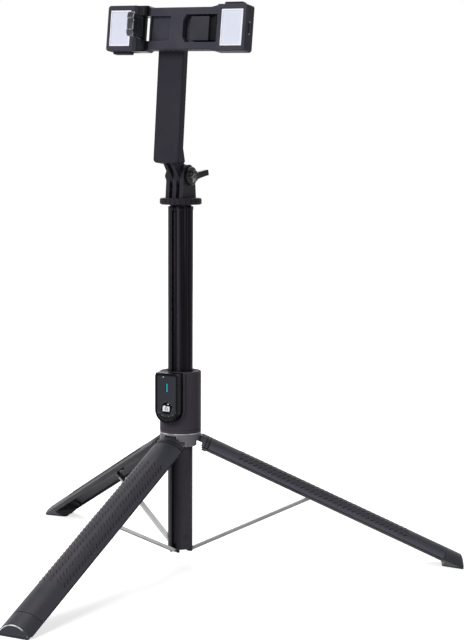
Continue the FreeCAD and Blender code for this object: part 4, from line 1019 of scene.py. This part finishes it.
def make_pad(name):
    low = (JAW_THICK / 2, -PAD_START - PAD_LENGTH, -PAD_HALF)
    high = (JAW_THICK / 2 + PAD_THICK - 0.6, -PAD_START, PAD_HALF)
    slab = smooth(soften(block(name + "_grip", low, high), 0.4, 3))
    rib = block(name + "_rib", (high[0] - 0.1, low[1] + 0.7, low[2] + 0.8),
                (high[0] + 0.6, low[1] + 1.7, high[2] - 0.8))
    soften(rib, 0.25, 2)
    smooth(repeat(rib, PAD_RIBS, (0, PAD_RIB_PITCH, 0)))
    return join(slab, rib)


def make_jaws():
    for side, where, finish in (("left", LEFT_JAW, "jaw"), ("right", RIGHT_JAW, "right jaw")):
        name, body = side + "_jaw", side + "_flap"
        place(make_jaw(name), where, body, finish, (name,))
        # The web and barrel are near-black, a painted shade in the gap at the flap's hinge end
        place(make_jaw_hinge(name), where, body, "dark hinge", (name,))
        place(make_pad(name), where, body, "rubber", (name + "_pad",))


# Wing knob: a domed hub with two curved wings
HUB_START = 8.0
HUB_RADIUS = 7.0
HUB_STEP = 2.6
NUT_RADIUS = 4.2
NUT_LENGTH = 3.4
WING_HALF = 2.6
WING_SIDES = (1.8, 6.6)
WING_TURN = 13
# Each step of a wing: how far out, how far forwards, and what is left of its height and width
WING_STEPS = ((3.0, 0.7, 0.94, 1.0), (3.6, 1.2, 0.92, 0.96), (3.4, 1.3, 1.0, 0.94))


def make_wing():
    middle = (HUB_START + HUB_STEP / 2, 0, 0)
    hub = rod("wing_hub", HUB_RADIUS, HUB_STEP, middle, "X", 56)
    smooth(soften(hub, 0.7, 4))
    middle = (HUB_START + HUB_STEP + NUT_LENGTH / 2 - 0.3, 0, 0)
    nut = rod("wing_nut", NUT_RADIUS, NUT_LENGTH, middle, "X", 40)
    smooth(soften(nut, 1.2, 5))
    wings = []
    for side in (-1, 1):
        reach = side * WING_HALF
        wing = block("wing", (HUB_START + WING_SIDES[0], min(0, reach), -WING_HALF),
                     (HUB_START + WING_SIDES[1], max(0, reach), WING_HALF))
        for out, forwards, height, width in WING_STEPS:
            pick(wing, "FACE", lambda c, n: n.y * side > 0.75)
            pull(x=forwards, y=side * out)
            shrink(width, 1, height)
            close(wing)
        soften(wing, 0.5, 3, 30)
        apply(wing, "SUBSURF", levels=1, render_levels=1)
        wings.append(smooth(wing, 60))
    where = move(0, 0, TILT_HEIGHT) @ turn(WING_TURN, "X")
    place(join(hub, nut, *wings), where, "wing", "wing", ("wing_knob",))


# Lamps: a bright border round each diffuser, and a metal socket between two dots in the end
DIFFUSER_FRONT = 35.7
LAMP_MIDDLE = {"left": -36.8, "right": 56.3}
LAMP_END = 12.6
RECESS = 2.7
SOCKET_FRONT = 30.4
LAMP_DOT_REACH = 4.2
LAMP_DOT_RADIUS = 0.5
# Half width, half height, band and depth
BORDER = (8.85, 13.25, 1.0, 0.25)
SOCKET = (3.6, 1.05, 0.22, 2.4)


def hollow_frame(name, half_width, half_height, band, depth):
    """A flat frame that faces -Y, with its back at the origin."""
    ring = block(name, (-half_width, -depth, -half_height), (half_width, 0, half_height))
    return hollow_out(soften(ring, min(band, 0.8), 2, 60), band, "Y")


def make_lamp_details():
    endwise = turn(90, "Z") @ turn(90, "Y")
    for side, body in (("left", "slider"), ("right", "holder")):
        mirrored = 0 if side == "right" else 180
        middle = CLAMPED @ move(LAMP_MIDDLE[side], 0, 0) @ turn(mirrored, "Y")
        border = hollow_frame(side + "_diffuser_border", *BORDER)
        front = middle @ move(0.9, -DIFFUSER_FRONT, 0)
        place(border, front, body, "diffuser edge")
        shell = smooth(soften(hollow_frame(side + "_lamp_socket", *SOCKET), 0.05))
        tongue = smooth(soften(block("tongue", (-2.6, -2.0, -0.3), (2.6, 0, 0.3)), 0.1))
        # The socket faces out of the lamp's end, on the floor of its recess
        floor = middle @ move(LAMP_END - RECESS, -SOCKET_FRONT, 0) @ endwise
        place(join(shell, tongue), floor, body, "dark screw")
        dots = []
        for end in (-1, 1):
            dot = rod("dot", LAMP_DOT_RADIUS, 0.4, (LAMP_DOT_REACH * end, 0, 0), "Y", 20)
            dots.append(smooth(soften(dot, 0.12)))
        pair = join(*dots)
        pair.name = side + "_lamp_dots"
        face = middle @ move(LAMP_END, -SOCKET_FRONT, 0) @ endwise
        place(pair, face, body, "pin")


# Collar: a thin seam on its upper edge, bright in patches, which are painted glints
SEAM_HEIGHT = 105.75
SEAM_RADIUS = 15.86
SEAM_WIDTH = 0.5
SEAM_WALL = 1.2


def make_seam():
    seam = rod("collar_seam", SEAM_RADIUS, SEAM_WIDTH, (0, 0, SEAM_HEIGHT), "Z", 96)
    hollow_out(seam, SEAM_WALL, "Z")
    smooth(soften(seam, 0.08))
    place(seam, Matrix.Identity(4), "hub", "seam")


make_leg_ribs()
make_leg_bands()
make_rivets()
make_screws()
make_prints()
make_bezel()
make_button_ring()
make_jaws()
make_wing()
make_lamp_details()
make_seam()


# Floor, light and camera
def seen_as_background(tree):
    """1 for rays that see the backdrop itself: from the camera, off gloss or through glass."""
    path = tree.nodes.new("ShaderNodeLightPath")
    seen = math_node(tree, "MAXIMUM", (path, "Is Camera Ray"), (path, "Is Glossy Ray"))
    return math_node(tree, "MAXIMUM", (seen, 0), (path, "Is Transmission Ray"))


def make_floor():
    start_clean()
    bpy.ops.mesh.primitive_plane_add(size=14, location=(0, 0, 0))
    floor = bpy.context.object
    floor.name = "floor"
    material, tree, shader = new_material("pale floor")
    shader.inputs["Base Color"].default_value = (0.9, 0.9, 0.9, 1)
    shader.inputs["Roughness"].default_value = 0.9
    shader.inputs["Specular IOR Level"].default_value = 0.1
    glow = tree.nodes.new("ShaderNodeEmission")
    glow.inputs["Color"].default_value = (1, 1, 1, 1)
    far = add_node(tree, "VectorMath", operation="LENGTH")
    tree.links.new(add_node(tree, "TexCoord").outputs["Object"], far.inputs[0])
    seen = seen_as_background(tree)
    # White from 1.6 m out, and a little darker near the object, where the lamps add to it
    white = ramp(tree, (far, "Value"), 0.3, 1.6, 0.68, 1.0)
    strength = math_node(tree, "MULTIPLY", (white, "Result"), (seen, 0))
    tree.links.new(strength.outputs[0], glow.inputs["Strength"])
    both = tree.nodes.new("ShaderNodeAddShader")
    tree.links.new(shader.outputs[0], both.inputs[0])
    tree.links.new(glow.outputs[0], both.inputs[1])
    tree.links.new(both.outputs[0], tree.nodes["Material Output"].inputs["Surface"])
    floor.data.materials.append(material)


def white_world():
    """A world that is white to look at and gives only a little light."""
    world = bpy.data.worlds.new("studio")
    bpy.context.scene.world = world
    world.use_nodes = True
    tree = world.node_tree
    tree.nodes.clear()
    output = tree.nodes.new("ShaderNodeOutputWorld")
    lit, white = tree.nodes.new("ShaderNodeBackground"), tree.nodes.new("ShaderNodeBackground")
    for background, strength in ((lit, 0.10), (white, 1.0)):
        background.inputs["Color"].default_value = (1, 1, 1, 1)
        background.inputs["Strength"].default_value = strength
    choice = tree.nodes.new("ShaderNodeMixShader")
    tree.links.new(seen_as_background(tree).outputs[0], choice.inputs["Fac"])
    tree.links.new(lit.outputs[0], choice.inputs[1])
    tree.links.new(white.outputs[0], choice.inputs[2])
    tree.links.new(choice.outputs[0], output.inputs["Surface"])


def soft_lamp(name, place_at, size, power):
    """A broad soft lamp, aimed at the object's middle."""
    data = bpy.data.lights.new(name, "AREA")
    data.shape = "RECTANGLE"
    data.size, data.size_y = size
    data.energy = power
    lamp = bpy.data.objects.new(name, data)
    bpy.context.scene.collection.objects.link(lamp)
    lamp.location = place_at
    way = Vector((0, 0, 0.2)) - Vector(place_at)
    lamp.rotation_euler = way.to_track_quat("-Z", "Y").to_euler()


# The camera, from a fit to the feet, the column and the clamp: metres, degrees and pixels
CAMERA_AZIMUTH = 30.35
CAMERA_DISTANCE = 1.2543
CAMERA_HEIGHT = 0.3189
CAMERA_PAN = 1.793
CAMERA_PITCH = 5.78
CAMERA_ROLL = 0.25
FOCAL_LENGTH = 1650
PICTURE_HEIGHT = 640
SENSOR = 36


def photo_camera():
    azimuth = math.radians(CAMERA_AZIMUTH)
    yaw = math.radians(-CAMERA_AZIMUTH + CAMERA_PAN)
    data = bpy.data.cameras.new("photo camera")
    data.sensor_fit = "AUTO"
    data.sensor_width = SENSOR
    data.lens = FOCAL_LENGTH * SENSOR / PICTURE_HEIGHT
    data.clip_start = 0.01
    data.clip_end = 50
    camera = bpy.data.objects.new("photo camera", data)
    bpy.context.scene.collection.objects.link(camera)
    spot = Vector((CAMERA_DISTANCE * math.sin(azimuth), -CAMERA_DISTANCE * math.cos(azimuth),
                   CAMERA_HEIGHT))
    aimed = Euler((math.pi / 2 - math.radians(CAMERA_PITCH), 0, -yaw)).to_matrix()
    aimed = aimed @ Matrix.Rotation(math.radians(CAMERA_ROLL), 3, "Z")
    camera.matrix_world = Matrix.LocRotScale(spot, aimed, None)
    bpy.context.scene.camera = camera


make_floor()
white_world()
soft_lamp("key lamp", (-0.15, -2.1, 1.6), (1.3, 1.3), 46)
soft_lamp("top lamp", (-0.4, 0.2, 2.2), (1.4, 1.4), 18)
soft_lamp("back lamp", (-1.2, 1.9, 1.4), (1.4, 1.2), 9)
photo_camera()
bpy.context.scene.view_settings.view_transform = "Standard"
